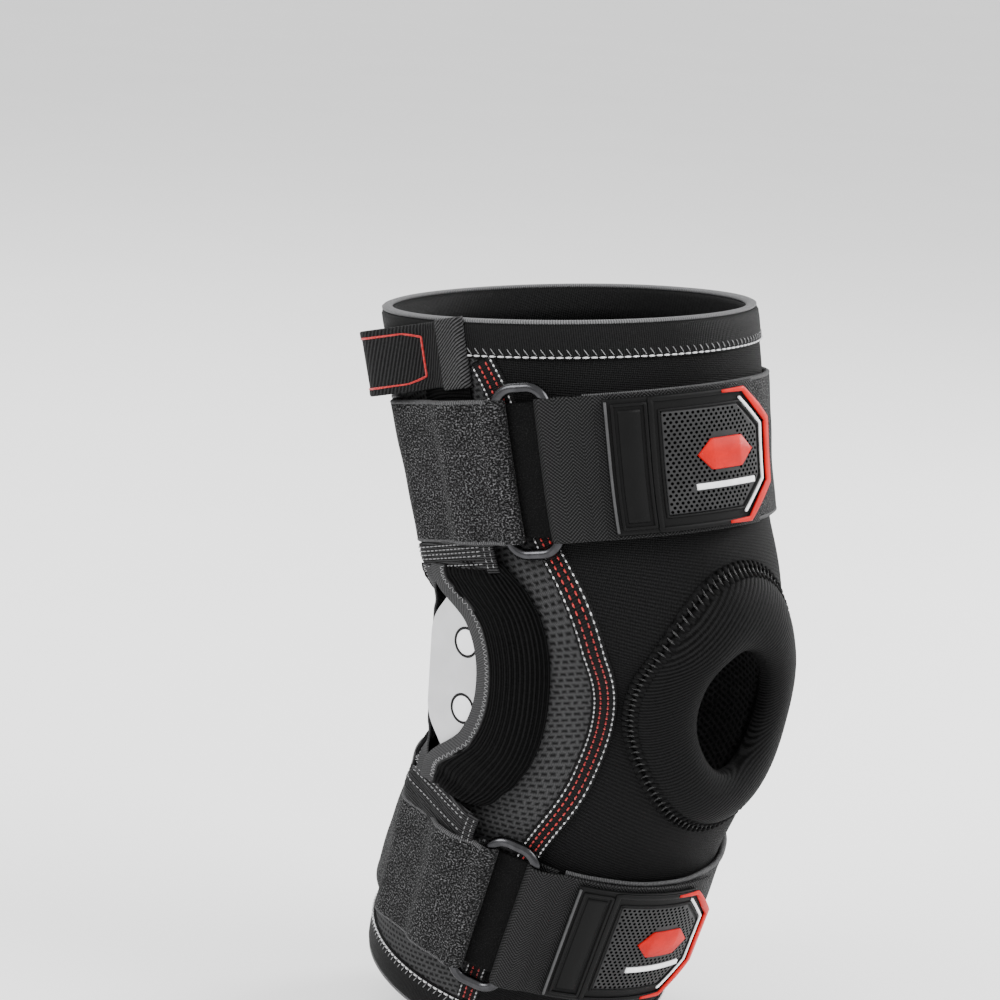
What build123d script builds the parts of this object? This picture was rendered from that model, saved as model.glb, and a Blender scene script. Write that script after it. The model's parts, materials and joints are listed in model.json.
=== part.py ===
from build123d import *
from math import acos, cos, degrees, hypot, radians, sin, tan
import os

# Hinged knee brace for the right knee, at its worn size, in millimetres.
#
# The frame's origin is on the flexion axis, midway between the lateral and the medial hinge and midway
# between the two pivots of each hinge. +Z runs up through both pivots, -Y points forward out of the kneecap
# and -X is the outer (lateral) side of the leg.
#
# Everything is designed on a straight leg, where the thigh cuff stands above the hinge and the shin cuff
# hangs below it. The thigh cuff is then turned back about the upper pivot and the shin cuff about the lower
# pivot, so the stored brace is bent by REST_FLEXION, half of it at each pivot.
#
# The leg is a tube whose sections are two half ellipses that meet on the line y = SIDE_LINE. An angle round
# the leg is 0 at the front, 90 on the lateral side and 180 at the back. A height is measured off the
# sleeve's outer face.

# ---------------------------------------------------------------- driving dimensions
REST_FLEXION = 30.0
HALF_FLEXION = REST_FLEXION / 2
PIVOT = 12.25             # each pivot's height above or below the origin

SIDE_LINE = -5.0          # y of the widest line of every section
WALL = 3.0                # neoprene and mesh thickness
# (height on the straight leg, half width, front depth, back depth), from the calf to the thigh
SECTIONS = [
    (-150, 55.0, 54.5, 54.5),
    (-109, 57.5, 59.0, 57.0),
    (-58, 57.0, 63.0, 54.0),
    (-24, 58.0, 67.0, 53.0),
    (0, 58.5, 70.5, 52.5),
    (24, 59.5, 70.5, 52.5),
    (40, 61.0, 69.5, 53.5),
    (104, 64.7, 74.4, 60.6),
    (150, 65.2, 75.2, 64.0),
]
# (height on the straight leg, angle of the curved seam between the front and the back panel)
SEAM = [(-150, 68), (-90, 66), (-48, 60.5), (-28, 55.3), (-12, 52.3), (3, 52.8), (17, 57), (30, 61.2),
        (47, 65.5), (100, 73.5), (120, 79.5), (150, 83)]
SEAM_GAP = 0.15           # half the gap between the two panels' edges, in degrees

THIGH_HEM, THIGH_HEM_TILT = 127.0, 9.0
SHIN_HEM, SHIN_HEM_TILT = -137.0, 0.0
HEM_WIDTH, HEM_THICK = 13.0, 0.9

STRAP_WIDTH = 51.0
THIGH_STRAP, THIGH_STRAP_TILT = 73.0, 5.0
CALF_STRAP, CALF_STRAP_TILT = -83.5, 0.0
CUFF_MARGIN = 2.5         # sleeve wall past the strap's knee-side edge
THIGH_PANEL_Z, SHIN_PANEL_Z = (30.0, 145.0), (-145.0, -45.0)     # the cuff panels before they are trimmed
THIGH_BINDING_Z, SHIN_BINDING_Z = (100.0, 145.0), (-145.0, -110.0)

BEND_NEAR = 14.0          # the sleeve's bend runs from this height to the cuff's edge

ARM_WIDTH, ARM_THICK = 16.0, 2.0
ARM_PLANE = 62.65         # distance of an arm's inner face from the leg's mid plane
ARM_KNEE = 40.0           # height where an arm leaves the hinge's plane
THIGH_ARM_END = (99.0, 65.4)     # height and distance of the inner face at the arm's far end
SHIN_ARM_END = (109.0, 58.3)
TEETH = 16                # teeth on a full circle of a gear head
TOOTH_ROOT, TOOTH_TIP = 10.95, 13.2
TOOTH_ROOT_HALF, TOOTH_TIP_HALF = 1.55, 0.6
PIN_RADIUS, RUNNING = 3.0, 0.05
INNER_PLATE = (61.0, 62.3)
OUTER_PLATE = (65.0, 67.2)
PLATE_RADIUS, PLATE_TIP, PLATE_TIP_RADIUS = 17.0, 29.0, 7.0
RIVET_HEAD, RIVET_RECESS, RECESS_DEPTH = 4.8, 5.2, 0.9
WASHER_RADIUS, WASHER_PLAY = 6.0, 0.03
STOP_PIN_Y, STOP_PIN_RADIUS = -13.0, 2.0
LUG_REACH, LUG_RADIUS, STOP_PLAY = 15.0, 2.0, 0.05

PATELLA_X, PATELLA_Z = -5.0, -5.5
PATELLA_RX, PATELLA_RZ = 20.5, 23.0
PAD_X, PAD_Z, PAD_RX, PAD_RZ = -4.0, -8.0, 40.0, 45.3
PAD_HEIGHT = 7.5
KNEE_PANEL_Z, KNEE_PANEL_ANGLE = (-54.5, 38.0), 52.0
FLEX_STEPS = 5            # straight stretches in the bend of a flex panel
SOFT_GAP = 0.4            # between soft pieces on different bodies

POCKET_REACH = 34.0       # half height of the cloth flanks beside a hinge
FLANK_THICK = 1.5
WINDOW_Y = 14.5           # the flanks' edges over the hinge plate, at half the window's width
FLANK_FOOT_ANGLES, FLANK_FOOT = (74.0, 118.0), 2.8
OVER_PLATE = 0.4          # gap between the flanks and the outer plate
POCKET_END_ANGLES = (80.0, 124.0)
UPPER_POCKET_END, LOWER_POCKET_END = (39.5, 45.0), (-55.0, -42.0)
ARM_CLIMB = (73.0, 85.0, 107.0, 121.0)   # angles where cloth leaves the sleeve, meets an arm and comes down

BAND = 2.0                # thickness of the loop-faced band
FABRIC = 1.6              # thickness of the elastic webbing
BAND_LIFT = 0.7           # height of the band's underside over the sleeve
BAND_ENDS = (75.0, 360 + 50.0)
PLY_GAP = 0.2             # between the straps' stitched layers
RING_WIRE, RING_PLAY = 2.0, 0.2
CORNER_PLAY = 0.7          # round the bar beside its cloth, where the ring's corners start to curve away
RING_WIDTH, RING_HEIGHT, RING_CORNER = 19.0, 59.0, 7.0   # between the wire's centre lines
BAR_CLOTH = 44.5          # width of the cloth folded round a bar of the ring
RING_ANGLE, RING_LIFT = 66.5, 4.8
STRAP_TOP = 4.3           # height of the elastic's underside over the sleeve
TAB_BASE = STRAP_TOP + FABRIC + PLY_GAP
TAB_TOP = TAB_BASE + 2.6
TAB_ENDS = (-10.0, 44.0)
TAB_MARGIN = 1.5          # strap width past the rubber tab on each edge
TAB_CORNER, TAB_CORNER_SLOPE = 13.0, 0.9   # height of the chamfer in mm, and its run in degrees per mm
TRIM_GAP, TRIM_THICK = 0.3, 0.7

PULL_ENDS, PULL_Z, PULL_LAND = (82.0, 132.0), (103.0, 126.5), 10.0
PULL_LIFT, PULL_RISE = 1.3, 15.0
ANCHOR_ANGLES, ANCHOR_Z, ANCHOR_FACES = (78.0, 100.0), (99.5, 116.0), (0.3, 1.1)


# ---------------------------------------------------------------- the leg's surface
def between(table, z):
    """A table's row at height z, on straight lines between its rows, without the height."""
    for low, high in zip(table, table[1:]):
        if z <= high[0] or high is table[-1]:
            t = (z - low[0]) / (high[0] - low[0])
            return [p + t * (q - p) for p, q in zip(low[1:], high[1:])]


def seam_angle(z):
    return between(SEAM, z)[0]


def smoothstep(t):
    t = min(1.0, max(0.0, t))
    return t * t * (3 - 2 * t)


class Leg:
    """The straight leg, cut by planes that are tilted about X where they cross z on the side line."""

    def __init__(self, z=0.0, tilt=0.0):
        self.z, self.tilt = z, tilt

    def section(self, w):
        """Half width, front depth and back depth at a distance w along the tilted frame's own axis."""
        rise, run = sin(radians(self.tilt)), cos(radians(self.tilt))
        half, front, back = between(SECTIONS, self.z + w)
        front = (between(SECTIONS, self.z + w * run - front * rise)[1] - w * rise) / run
        back = (between(SECTIONS, self.z + w * run + back * rise)[2] + w * rise) / run
        return half, front, back

    def point(self, angle, height, w):
        half, front, back = self.section(w)
        depth = front if cos(radians(angle)) > 0 else back
        x = -(half + height) * sin(radians(angle))
        return Vector(x, SIDE_LINE - (depth + height) * cos(radians(angle)), w)

    def face(self, w, grow):
        """The whole section at w, grown by a height."""
        half, front, back = (d + grow for d in self.section(w))
        outline = EllipticalCenterArc((0, SIDE_LINE), half, front, 180, arc_size=180)
        outline += EllipticalCenterArc((0, SIDE_LINE), half, back, 0, arc_size=180)
        return Pos(0, 0, w) * make_face(outline)

    def levels(self, low, high):
        """Heights from low to high, with the table's own heights between them."""
        return [low, *(row[0] - self.z for row in SECTIONS if low < row[0] - self.z < high), high]

    def solid(self, low, high, grow):
        return loft([self.face(w, grow) for w in self.levels(low, high)], ruled=True)

    def shell(self, low, high, inner, outer):
        return self.solid(low, high, outer) - self.solid(low - 1, high + 1, inner)

    def strip(self, levels, ends, inner, outer, steps=12):
        """A sheet laid round the leg between ends(w). inner and outer give its faces' heights."""
        faces = []
        for w in levels:
            start, end = ends(w)
            row = [start + (end - start) * k / steps for k in range(steps + 1)]
            inside = [self.point(a, inner(a, w), w) for a in row]
            outside = [self.point(a, outer(a, w), w) for a in row]
            edges = [Spline(*inside), Line(inside[-1], outside[-1]),
                     Spline(*reversed(outside)), Line(outside[0], inside[0])]
            faces.append(Face(Wire(edges)))
        return loft(faces, ruled=True)

    def place(self):
        """From the tilted frame to the straight leg."""
        return Pos(0, SIDE_LINE, self.z) * Rot(self.tilt, 0, 0) * Pos(0, -SIDE_LINE, 0)


LEG = Leg()
THIGH_BELT = Leg(THIGH_STRAP, THIGH_STRAP_TILT)
CALF_BELT = Leg(CALF_STRAP, CALF_STRAP_TILT)


def turn(part, side, angle):
    """Turns a part about the upper pivot (side 1) or the lower pivot (side -1), as a bending knee does."""
    return Pos(0, 0, side * PIVOT) * Rot(-side * angle, 0, 0) * Pos(0, 0, -side * PIVOT) * part


def flex_thigh(part):
    return turn(part, 1, HALF_FLEXION)


def flex_shin(part):
    return turn(part, -1, HALF_FLEXION)


def half_space(z, tilt, side):
    """Everything above (side 1) or below (side -1) a tilted plane that crosses z on the side line."""
    reach = 200
    return Pos(0, SIDE_LINE, z) * Rot(tilt, 0, 0) * Pos(0, 0, side * reach) * Box(400, 400, 2 * reach)


def flat(height):
    """A face of a strip that keeps one height."""
    return lambda angle, w: height


def medial(part):
    """The same piece on the inner side of the leg."""
    return mirror(part, about=Plane.YZ)


# ---------------------------------------------------------------- sleeve
def cuff_zone(belt, hem, hem_tilt, side):
    """Where one cuff's panels lie: from just past its strap to its hem binding."""
    knee_edge = belt.z - side * (STRAP_WIDTH / 2 + CUFF_MARGIN)
    hem_edge = hem - side * (HEM_WIDTH + 0.1)
    return half_space(knee_edge, belt.tilt, side) & half_space(hem_edge, hem_tilt, -side)


def cuff_panels(low, high, zone):
    """Front and back panel of one cuff, which meet at the curved seam."""
    levels = LEG.levels(low, high)

    def front_ends(w):
        return -seam_angle(w) + SEAM_GAP, seam_angle(w) - SEAM_GAP

    def back_ends(w):
        return seam_angle(w) + SEAM_GAP, 360 - seam_angle(w) - SEAM_GAP

    front = LEG.strip(levels, front_ends, flat(-WALL), flat(0), 16)
    back = LEG.strip(levels, back_ends, flat(-WALL), flat(0), 24)
    return front & zone, back & zone


def hem_binding(low, high, hem, tilt, side):
    """A band folded over the sleeve's edge, outside and inside."""
    band = LEG.shell(low, high, -WALL - HEM_THICK, HEM_THICK)
    return band & half_space(hem - side * HEM_WIDTH, tilt, side) & half_space(hem, tilt, -side)


def patella_hole():
    hole = extrude(Ellipse(PATELLA_RX, PATELLA_RZ), 100)
    return Pos(PATELLA_X, 0, PATELLA_Z) * Rot(90, 0, 0) * hole


def knee_front_panel():
    panel = LEG.strip(LEG.levels(*KNEE_PANEL_Z), lambda w: (-KNEE_PANEL_ANGLE, KNEE_PANEL_ANGLE),
                      flat(-WALL), flat(0))
    return panel - patella_hole()


def patella_pad():
    """Foam buttress ring, stitched on round the patella opening."""
    ring = LEG.shell(PAD_Z - PAD_RZ - 1, PAD_Z + PAD_RZ + 1, 0, PAD_HEIGHT)
    outline = Pos(PAD_X, -20, PAD_Z) * Rot(90, 0, 0) * extrude(Ellipse(PAD_RX, PAD_RZ), 90)
    return (ring & outline) - patella_hole()


def flex_panel(belt, side):
    """The sleeve between a cuff and the knee's mid plane. It stretches in front and folds behind."""
    edge = belt.z - side * (STRAP_WIDTH / 2 + CUFF_MARGIN + SOFT_GAP)
    skins = []
    for grow in (0, -WALL):
        faces = []
        for k in range(FLEX_STEPS + 1):
            share = k / FLEX_STEPS
            cut = Leg(side * 0.2 + (edge - side * 0.2) * share, belt.tilt * share)
            bend = HALF_FLEXION * smoothstep((abs(cut.z) - BEND_NEAR) / (abs(edge) - BEND_NEAR))
            faces.append(turn(cut.place() * cut.face(0, grow), side, bend))
        skins.append(loft(faces, ruled=True))
    reach = 130
    spread = reach * tan(radians(KNEE_PANEL_ANGLE + 1))
    far = SIDE_LINE - reach
    wedge = make_face(Polyline((0, SIDE_LINE), (-spread, far), (spread, far), close=True))
    low, high = KNEE_PANEL_Z
    front = Pos(0, 0, low - SOFT_GAP) * extrude(wedge, high - low + 2 * SOFT_GAP)
    return skins[0] - skins[1] - front


# ---------------------------------------------------------------- hinge
def on_side(sketch, start, end):
    """Extrudes a sketch drawn as (y, z), on the lateral side, between two distances from the mid plane."""
    plane = Plane(origin=(-start, 0, 0), x_dir=(0, 1, 0), z_dir=(1, 0, 0))
    return extrude(plane * sketch, start - end)


def at_pivots(sketch):
    return Pos(0, PIVOT) * sketch + Pos(0, -PIVOT) * sketch


def plate_sketch():
    rounds = [Pos(0, side * z) * Circle(r) for side in (1, -1)
              for z, r in ((PIVOT, PLATE_RADIUS), (PLATE_TIP, PLATE_TIP_RADIUS))]
    return make_hull([edge for circle in rounds for edge in circle.edges()])


def inner_plate():
    return on_side(plate_sketch() - at_pivots(Circle(PIN_RADIUS)), *INNER_PLATE)


def outer_plate():
    plate = on_side(plate_sketch() - at_pivots(Circle(PIN_RADIUS)), *OUTER_PLATE)
    recesses = at_pivots(Circle(RIVET_RECESS))
    return plate - on_side(recesses, OUTER_PLATE[1] - RECESS_DEPTH, OUTER_PLATE[1] + 1)


def rivets():
    """Both pivot rivets: a shank with a flush outer head and a thin inner head."""
    inner_head = 0.5
    shank = on_side(at_pivots(Circle(PIN_RADIUS)), INNER_PLATE[0], OUTER_PLATE[1] - RECESS_DEPTH)
    outer = on_side(at_pivots(Circle(RIVET_HEAD)), OUTER_PLATE[1] - RECESS_DEPTH, OUTER_PLATE[1])
    inner = on_side(at_pivots(Circle(RIVET_HEAD)), INNER_PLATE[0] - inner_head, INNER_PLATE[0])
    return shank + outer + inner


def washers():
    """Thrust washers on both faces of both arms."""
    ring = at_pivots(Circle(WASHER_RADIUS) - Circle(PIN_RADIUS + RUNNING))
    inner = on_side(ring, INNER_PLATE[1], ARM_PLANE - WASHER_PLAY)
    outer = on_side(ring, ARM_PLANE + ARM_THICK + WASHER_PLAY, OUTER_PLATE[0])
    return Compound([*inner.solids(), *outer.solids()])


def stop_pin():
    return on_side(Pos(STOP_PIN_Y, 0) * Circle(STOP_PIN_RADIUS), INNER_PLATE[1], OUTER_PLATE[0])


def tooth(angle):
    """One gear tooth about the origin, pointing down at angle 0 and towards the back as the angle grows."""
    overlap = 0.5
    corners = [(-TOOTH_ROOT_HALF, -TOOTH_ROOT + overlap), (TOOTH_ROOT_HALF, -TOOTH_ROOT + overlap),
               (TOOTH_ROOT_HALF, -TOOTH_ROOT), (TOOTH_TIP_HALF, -TOOTH_TIP),
               (-TOOTH_TIP_HALF, -TOOTH_TIP), (-TOOTH_ROOT_HALF, -TOOTH_ROOT)]
    return Rot(0, 0, angle) * make_face(Polyline(*corners, close=True))


def stop_lug():
    """The finger of an arm that meets the stop pin when the leg is straight."""
    to_pin = hypot(STOP_PIN_Y, PIVOT)
    touch = STOP_PIN_RADIUS + LUG_RADIUS + STOP_PLAY
    gap = degrees(acos((LUG_REACH ** 2 + to_pin ** 2 - touch ** 2) / (2 * LUG_REACH * to_pin)))
    pin_angle = degrees(acos(PIVOT / to_pin))
    finger = Pos(0, -LUG_REACH / 2) * Rectangle(2 * LUG_RADIUS, LUG_REACH)
    finger += Pos(0, -LUG_REACH) * Circle(LUG_RADIUS)
    return Rot(0, 0, -pin_angle - gap) * finger


def arm(first_tooth, end):
    """An upper arm on the straight leg. The lower arm is the same shape upside down with its own teeth."""
    far_z, far_x = end
    head = Circle(TOOTH_ROOT) + stop_lug()
    for k in range(6):
        head += tooth((first_tooth + k) * 360 / TEETH)
    head = Pos(0, PIVOT) * head
    blade = Pos(0, (PIVOT + ARM_KNEE) / 2) * Rectangle(ARM_WIDTH, ARM_KNEE - PIVOT)
    bore = Pos(0, PIVOT) * Circle(PIN_RADIUS + RUNNING)
    gear_end = on_side(head + blade - bore, ARM_PLANE, ARM_PLANE + ARM_THICK)
    overlap = 2
    inner = [(-ARM_PLANE, ARM_KNEE - overlap), (-ARM_PLANE, ARM_KNEE), (-far_x, far_z)]
    outer = [(x - ARM_THICK, z) for x, z in reversed(inner)]
    side_view = make_face(Polyline(*inner, *outer, close=True))
    stay = extrude(Plane.XZ * side_view, ARM_WIDTH / 2, both=True)
    # the slot's lower end lies well inside the hinge, so that it rounds the arm's far end only
    slot = SlotOverall(2 * far_z, ARM_WIDTH, 90)
    rounded = on_side(slot, 0, 2 * ARM_PLANE)
    return gear_end + (stay & rounded)


def upside_down(part):
    return mirror(part, about=Plane.XY)


def window_edge(z):
    """Half width of the cloth window over the hinge plate at height z."""
    return WINDOW_Y * (1 - (z / (POCKET_REACH + 6)) ** 2)


def pocket_flank(front):
    """Cloth that slopes from the window's edge over the hinge plate down to the sleeve."""
    low = OUTER_PLATE[1] + OVER_PLATE
    high = low + FLANK_THICK
    foot_angle = FLANK_FOOT_ANGLES[0 if front else 1]
    side = -1 if front else 1
    faces = []
    for k in range(-3, 4):
        z = POCKET_REACH * k / 3
        foot = LEG.point(foot_angle, FLANK_FOOT, z)
        edge = window_edge(z)
        shoulder = max(PLATE_RADIUS + 1.5, edge + 4)
        inner = [(-low, side * edge), (-low, side * shoulder), (foot.X, foot.Y)]
        outer = [(foot.X - FLANK_THICK * 0.3, foot.Y + side * FLANK_THICK),
                 (-high, side * (shoulder + 0.6)), (-high, side * edge)]
        faces.append(Pos(0, 0, z) * make_face(Polyline(*inner, *outer, close=True)))
    return loft(faces, ruled=True)


def arm_face(z):
    """Distance of an arm's outer face from the leg's mid plane at height z on the straight leg."""
    far_z, far_x = THIGH_ARM_END if z > 0 else SHIN_ARM_END
    share = max(0.0, (abs(z) - ARM_KNEE) / (far_z - ARM_KNEE))
    return ARM_PLANE + share * (far_x - ARM_PLANE) + ARM_THICK


def over_arm(belt):
    """The inner height of cloth that lies on the sleeve and passes flat over both arms."""
    rise_from, top_from, top_to, fall_to = ARM_CLIMB

    def height(angle, w):
        lateral = 180 - abs(180 - angle % 360)
        climb = smoothstep((lateral - rise_from) / (top_from - rise_from))
        climb *= smoothstep((fall_to - lateral) / (fall_to - top_to))
        over = (arm_face(belt.z + w) + BAND_LIFT) / sin(radians(max(lateral, 1.0))) - belt.section(w)[0]
        return BAND_LIFT + climb * max(0.0, over - BAND_LIFT) if climb > 0 else BAND_LIFT
    return height


def thicker(inner, thick):
    return lambda angle, w: inner(angle, w) + thick


def pocket_end(ends):
    """The stitched cloth tab over an arm where its pocket ends, beside the strap."""
    inner = over_arm(LEG)
    levels = [ends[0], sum(ends) / 2, ends[1]]
    return LEG.strip(levels, lambda w: POCKET_END_ANGLES, inner, thicker(inner, FABRIC), 26)


# ---------------------------------------------------------------- straps
def ring_frame(belt):
    """A frame at the ring's middle: x round the leg towards the back, y down the strap, z off the leg."""
    low, high = (belt.point(RING_ANGLE, RING_LIFT, w) for w in (-STRAP_WIDTH / 2, STRAP_WIDTH / 2))
    ahead, behind = (belt.point(RING_ANGLE + step, RING_LIFT, 0) for step in (-8, 8))
    down = (low - high).normalized()
    out = (behind - ahead).cross(down).normalized()
    return Plane(origin=(ahead + behind) / 2, x_dir=down.cross(out), z_dir=out)


def strap_ring(belt):
    """Rounded rectangle of round wire, in the belt's frame."""
    path = RectangleRounded(RING_WIDTH, RING_HEIGHT, RING_CORNER).wire()
    start = path @ 0
    section = Plane(origin=start, z_dir=path % 0) * Circle(RING_WIRE)
    return ring_frame(belt) * sweep(section, path)


def along_bar(belt, bar_side, part):
    """Lays a part that was drawn round the Z axis along a bar of the ring: 1 is the rear bar."""
    return ring_frame(belt) * Pos(bar_side * RING_WIDTH / 2, 0, 0) * Rot(90, 0, 0) * part


def bar_core(belt, bar_side, play=RING_PLAY):
    """The room that a bar of the ring needs inside the cloth round it."""
    return along_bar(belt, bar_side, Cylinder(RING_WIRE + play, STRAP_WIDTH + 2))


def bar_loop(belt, bar_side, thick):
    """Cloth wrapped right round one bar of the ring."""
    tube = Cylinder(RING_WIRE + RING_PLAY + thick, BAR_CLOTH)
    return along_bar(belt, bar_side, tube) - bar_core(belt, bar_side)


def bar_axis(belt, bar_side):
    """The turning axis of what hangs on a ring bar, as two points in the belt's frame."""
    frame = ring_frame(belt)
    middle = frame.origin + frame.x_dir * (bar_side * RING_WIDTH / 2)
    return middle, middle + frame.y_dir


def strap_levels(margin=0.0):
    half = STRAP_WIDTH / 2 - margin
    return [half * k / 3 for k in range(-3, 4)]


def strap_band(belt):
    """Loop-faced band round the back of the leg, folded round the ring's rear bar."""
    inner = over_arm(belt)
    band = belt.strip(strap_levels(), lambda w: BAND_ENDS, inner, thicker(inner, BAND), 66)
    return band - bar_core(belt, 1) + bar_loop(belt, 1, BAND)


def strap_elastic(belt):
    """Elastic end of the strap: wrapped round the ring's front bar and laid back over the band."""
    ends = TAB_ENDS[0] + 2, RING_ANGLE - 8.5
    sheet = belt.strip(strap_levels(), lambda w: ends, flat(STRAP_TOP), flat(STRAP_TOP + FABRIC))
    return sheet - bar_core(belt, -1, CORNER_PLAY) + bar_loop(belt, -1, FABRIC)


def hook_pad(belt):
    """Hook-faced pad under the strap's free end."""
    low, high = BAND_LIFT + BAND + PLY_GAP, STRAP_TOP - PLY_GAP
    ends = TAB_ENDS[0] + 4, TAB_ENDS[1] - 4
    return belt.strip(strap_levels(3), lambda w: ends, flat(low), flat(high))


def tab_ends(w):
    """The rubber tab's two ends at a place across the strap: its free end has chamfered corners."""
    cut = max(0.0, abs(w) - (STRAP_WIDTH / 2 - TAB_MARGIN - TAB_CORNER))
    return TAB_ENDS[0] + cut * TAB_CORNER_SLOPE, TAB_ENDS[1]


def tab_levels():
    half = STRAP_WIDTH / 2 - TAB_MARGIN
    middle = half - TAB_CORNER
    return [-half, -half + TAB_CORNER / 2, -middle, 0, middle, half - TAB_CORNER / 2, half]


def strap_tab(belt):
    """Moulded rubber end of the strap."""
    return belt.strip(tab_levels(), tab_ends, flat(TAB_BASE), flat(TAB_TOP))


def tab_trim(belt):
    """Coloured line raised along the tab's free end."""
    inset, width = 2.2, 1.3

    def ends(w):
        start = tab_ends(w)[0] + inset
        return start, start + width
    return belt.strip(tab_levels(), ends, flat(TAB_TOP + TRIM_GAP), flat(TAB_TOP + TRIM_THICK), 2)


def tab_badge(belt):
    """Plain raised lozenge in the middle of the tab."""
    middle, half, wide, tip = 16.0, 7.0, 9.0, 1.0

    def ends(w):
        reach = tip + wide * (1 - abs(w) / half)
        return middle - reach, middle + reach
    return belt.strip([-half, 0, half], ends, flat(TAB_TOP + TRIM_GAP), flat(TAB_TOP + TRIM_THICK), 4)


# ---------------------------------------------------------------- pull tab
def pull_tab_loop():
    """Webbing loop that stands off the sleeve for the fingers, sewn down at both ends."""
    def inner(angle, w):
        start, end = PULL_ENDS
        out = min(angle - start, end - angle) - PULL_LAND
        return PULL_LIFT + PULL_RISE * smoothstep(out / ((end - start) / 2 - PULL_LAND))
    return LEG.strip(PULL_Z, lambda w: PULL_ENDS, inner, thicker(inner, FABRIC), 30)


def pull_tab_anchor():
    """Reinforcing patch sewn to the sleeve under the loop's front end."""
    inner, outer = ANCHOR_FACES
    patch = LEG.strip(ANCHOR_Z, lambda w: ANCHOR_ANGLES, flat(inner), flat(outer))
    return patch & half_space(THIGH_HEM - HEM_WIDTH - SOFT_GAP, THIGH_HEM_TILT, -1)


# ---------------------------------------------------------------- the pieces
def strap_pieces(prefix, belt, flex):
    made = {
        "strap_band": strap_band(belt),
        "strap_ring": strap_ring(belt),
        "strap_elastic": strap_elastic(belt),
        "strap_hook_pad": hook_pad(belt),
        "strap_tab": strap_tab(belt),
        "strap_tab_trim": tab_trim(belt),
        "strap_tab_badge": tab_badge(belt),
    }
    return {f"{prefix}_{name}": flex(belt.place() * part) for name, part in made.items()}


def build():
    thigh_zone = cuff_zone(THIGH_BELT, THIGH_HEM, THIGH_HEM_TILT, 1)
    thigh_front, thigh_back = cuff_panels(*THIGH_PANEL_Z, thigh_zone)
    shin_zone = cuff_zone(CALF_BELT, SHIN_HEM, SHIN_HEM_TILT, -1)
    shin_front, shin_back = cuff_panels(*SHIN_PANEL_Z, shin_zone)
    upper_arm = arm(-1, THIGH_ARM_END)
    lower_arm = upside_down(arm(-1.5, SHIN_ARM_END))
    upper_end = pocket_end(UPPER_POCKET_END)
    lower_end = pocket_end(LOWER_POCKET_END)
    thigh_binding = hem_binding(*THIGH_BINDING_Z, THIGH_HEM, THIGH_HEM_TILT, 1)
    shin_binding = hem_binding(*SHIN_BINDING_Z, SHIN_HEM, SHIN_HEM_TILT, -1)

    parts = {
        "thigh_front_panel": flex_thigh(thigh_front),
        "thigh_back_panel": flex_thigh(thigh_back),
        "thigh_hem_binding": flex_thigh(thigh_binding),
        "shin_front_panel": flex_shin(shin_front),
        "shin_back_panel": flex_shin(shin_back),
        "shin_hem_binding": flex_shin(shin_binding),
        "pull_tab_loop": flex_thigh(pull_tab_loop()),
        "pull_tab_anchor": flex_thigh(pull_tab_anchor()),
        "knee_front_panel": knee_front_panel(),
        "patella_pad": patella_pad(),
        "upper_flex_panel": flex_panel(THIGH_BELT, 1),
        "lower_flex_panel": flex_panel(CALF_BELT, -1),
    }
    parts.update(strap_pieces("thigh", THIGH_BELT, flex_thigh))
    parts.update(strap_pieces("calf", CALF_BELT, flex_shin))

    sided = {
        "upper_arm": flex_thigh(upper_arm),
        "lower_arm": flex_shin(lower_arm),
        "upper_pocket_end": flex_thigh(upper_end),
        "lower_pocket_end": flex_shin(lower_end),
        "inner_plate": inner_plate(),
        "outer_plate": outer_plate(),
        "rivets": rivets(),
        "washers": washers(),
        "stop_pin": stop_pin(),
        "pocket_front": pocket_flank(True),
        "pocket_rear": pocket_flank(False),
    }
    for name, part in sided.items():
        parts[f"lateral_{name}"] = part
        parts[f"medial_{name}"] = medial(part)
    return parts


def export(parts):
    os.makedirs("parts", exist_ok=True)
    for name, part in parts.items():
        export_step(part, f"parts/{name}.step")


if __name__ == "__main__":
    export(build())
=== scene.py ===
import json
from math import ceil, cos, pi, radians, sin, tan

import bmesh
import bpy
import numpy as np
from mathutils import Matrix, Vector
from mathutils.kdtree import KDTree


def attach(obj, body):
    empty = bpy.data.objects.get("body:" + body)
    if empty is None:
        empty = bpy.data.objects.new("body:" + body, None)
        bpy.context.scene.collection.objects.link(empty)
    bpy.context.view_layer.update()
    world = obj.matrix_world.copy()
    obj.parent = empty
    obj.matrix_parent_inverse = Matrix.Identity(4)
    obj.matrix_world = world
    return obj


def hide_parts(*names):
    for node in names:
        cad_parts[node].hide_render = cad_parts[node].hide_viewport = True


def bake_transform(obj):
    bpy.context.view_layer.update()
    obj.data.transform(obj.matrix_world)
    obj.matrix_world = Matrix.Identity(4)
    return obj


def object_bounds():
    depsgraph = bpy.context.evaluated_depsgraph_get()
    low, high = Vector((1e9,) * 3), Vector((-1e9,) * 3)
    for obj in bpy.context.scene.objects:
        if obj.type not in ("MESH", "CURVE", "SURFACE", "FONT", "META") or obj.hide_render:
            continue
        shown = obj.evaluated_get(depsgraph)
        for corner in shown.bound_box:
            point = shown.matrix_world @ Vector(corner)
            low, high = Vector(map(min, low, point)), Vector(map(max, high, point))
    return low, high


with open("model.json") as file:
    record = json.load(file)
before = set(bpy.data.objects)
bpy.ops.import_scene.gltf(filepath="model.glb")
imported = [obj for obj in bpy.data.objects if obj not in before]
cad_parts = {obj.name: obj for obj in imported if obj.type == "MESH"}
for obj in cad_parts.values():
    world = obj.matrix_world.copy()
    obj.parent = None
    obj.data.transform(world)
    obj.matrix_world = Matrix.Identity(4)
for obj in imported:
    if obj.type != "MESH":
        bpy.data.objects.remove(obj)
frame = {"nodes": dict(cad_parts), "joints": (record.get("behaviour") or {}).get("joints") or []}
CAD_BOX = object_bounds()

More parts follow.
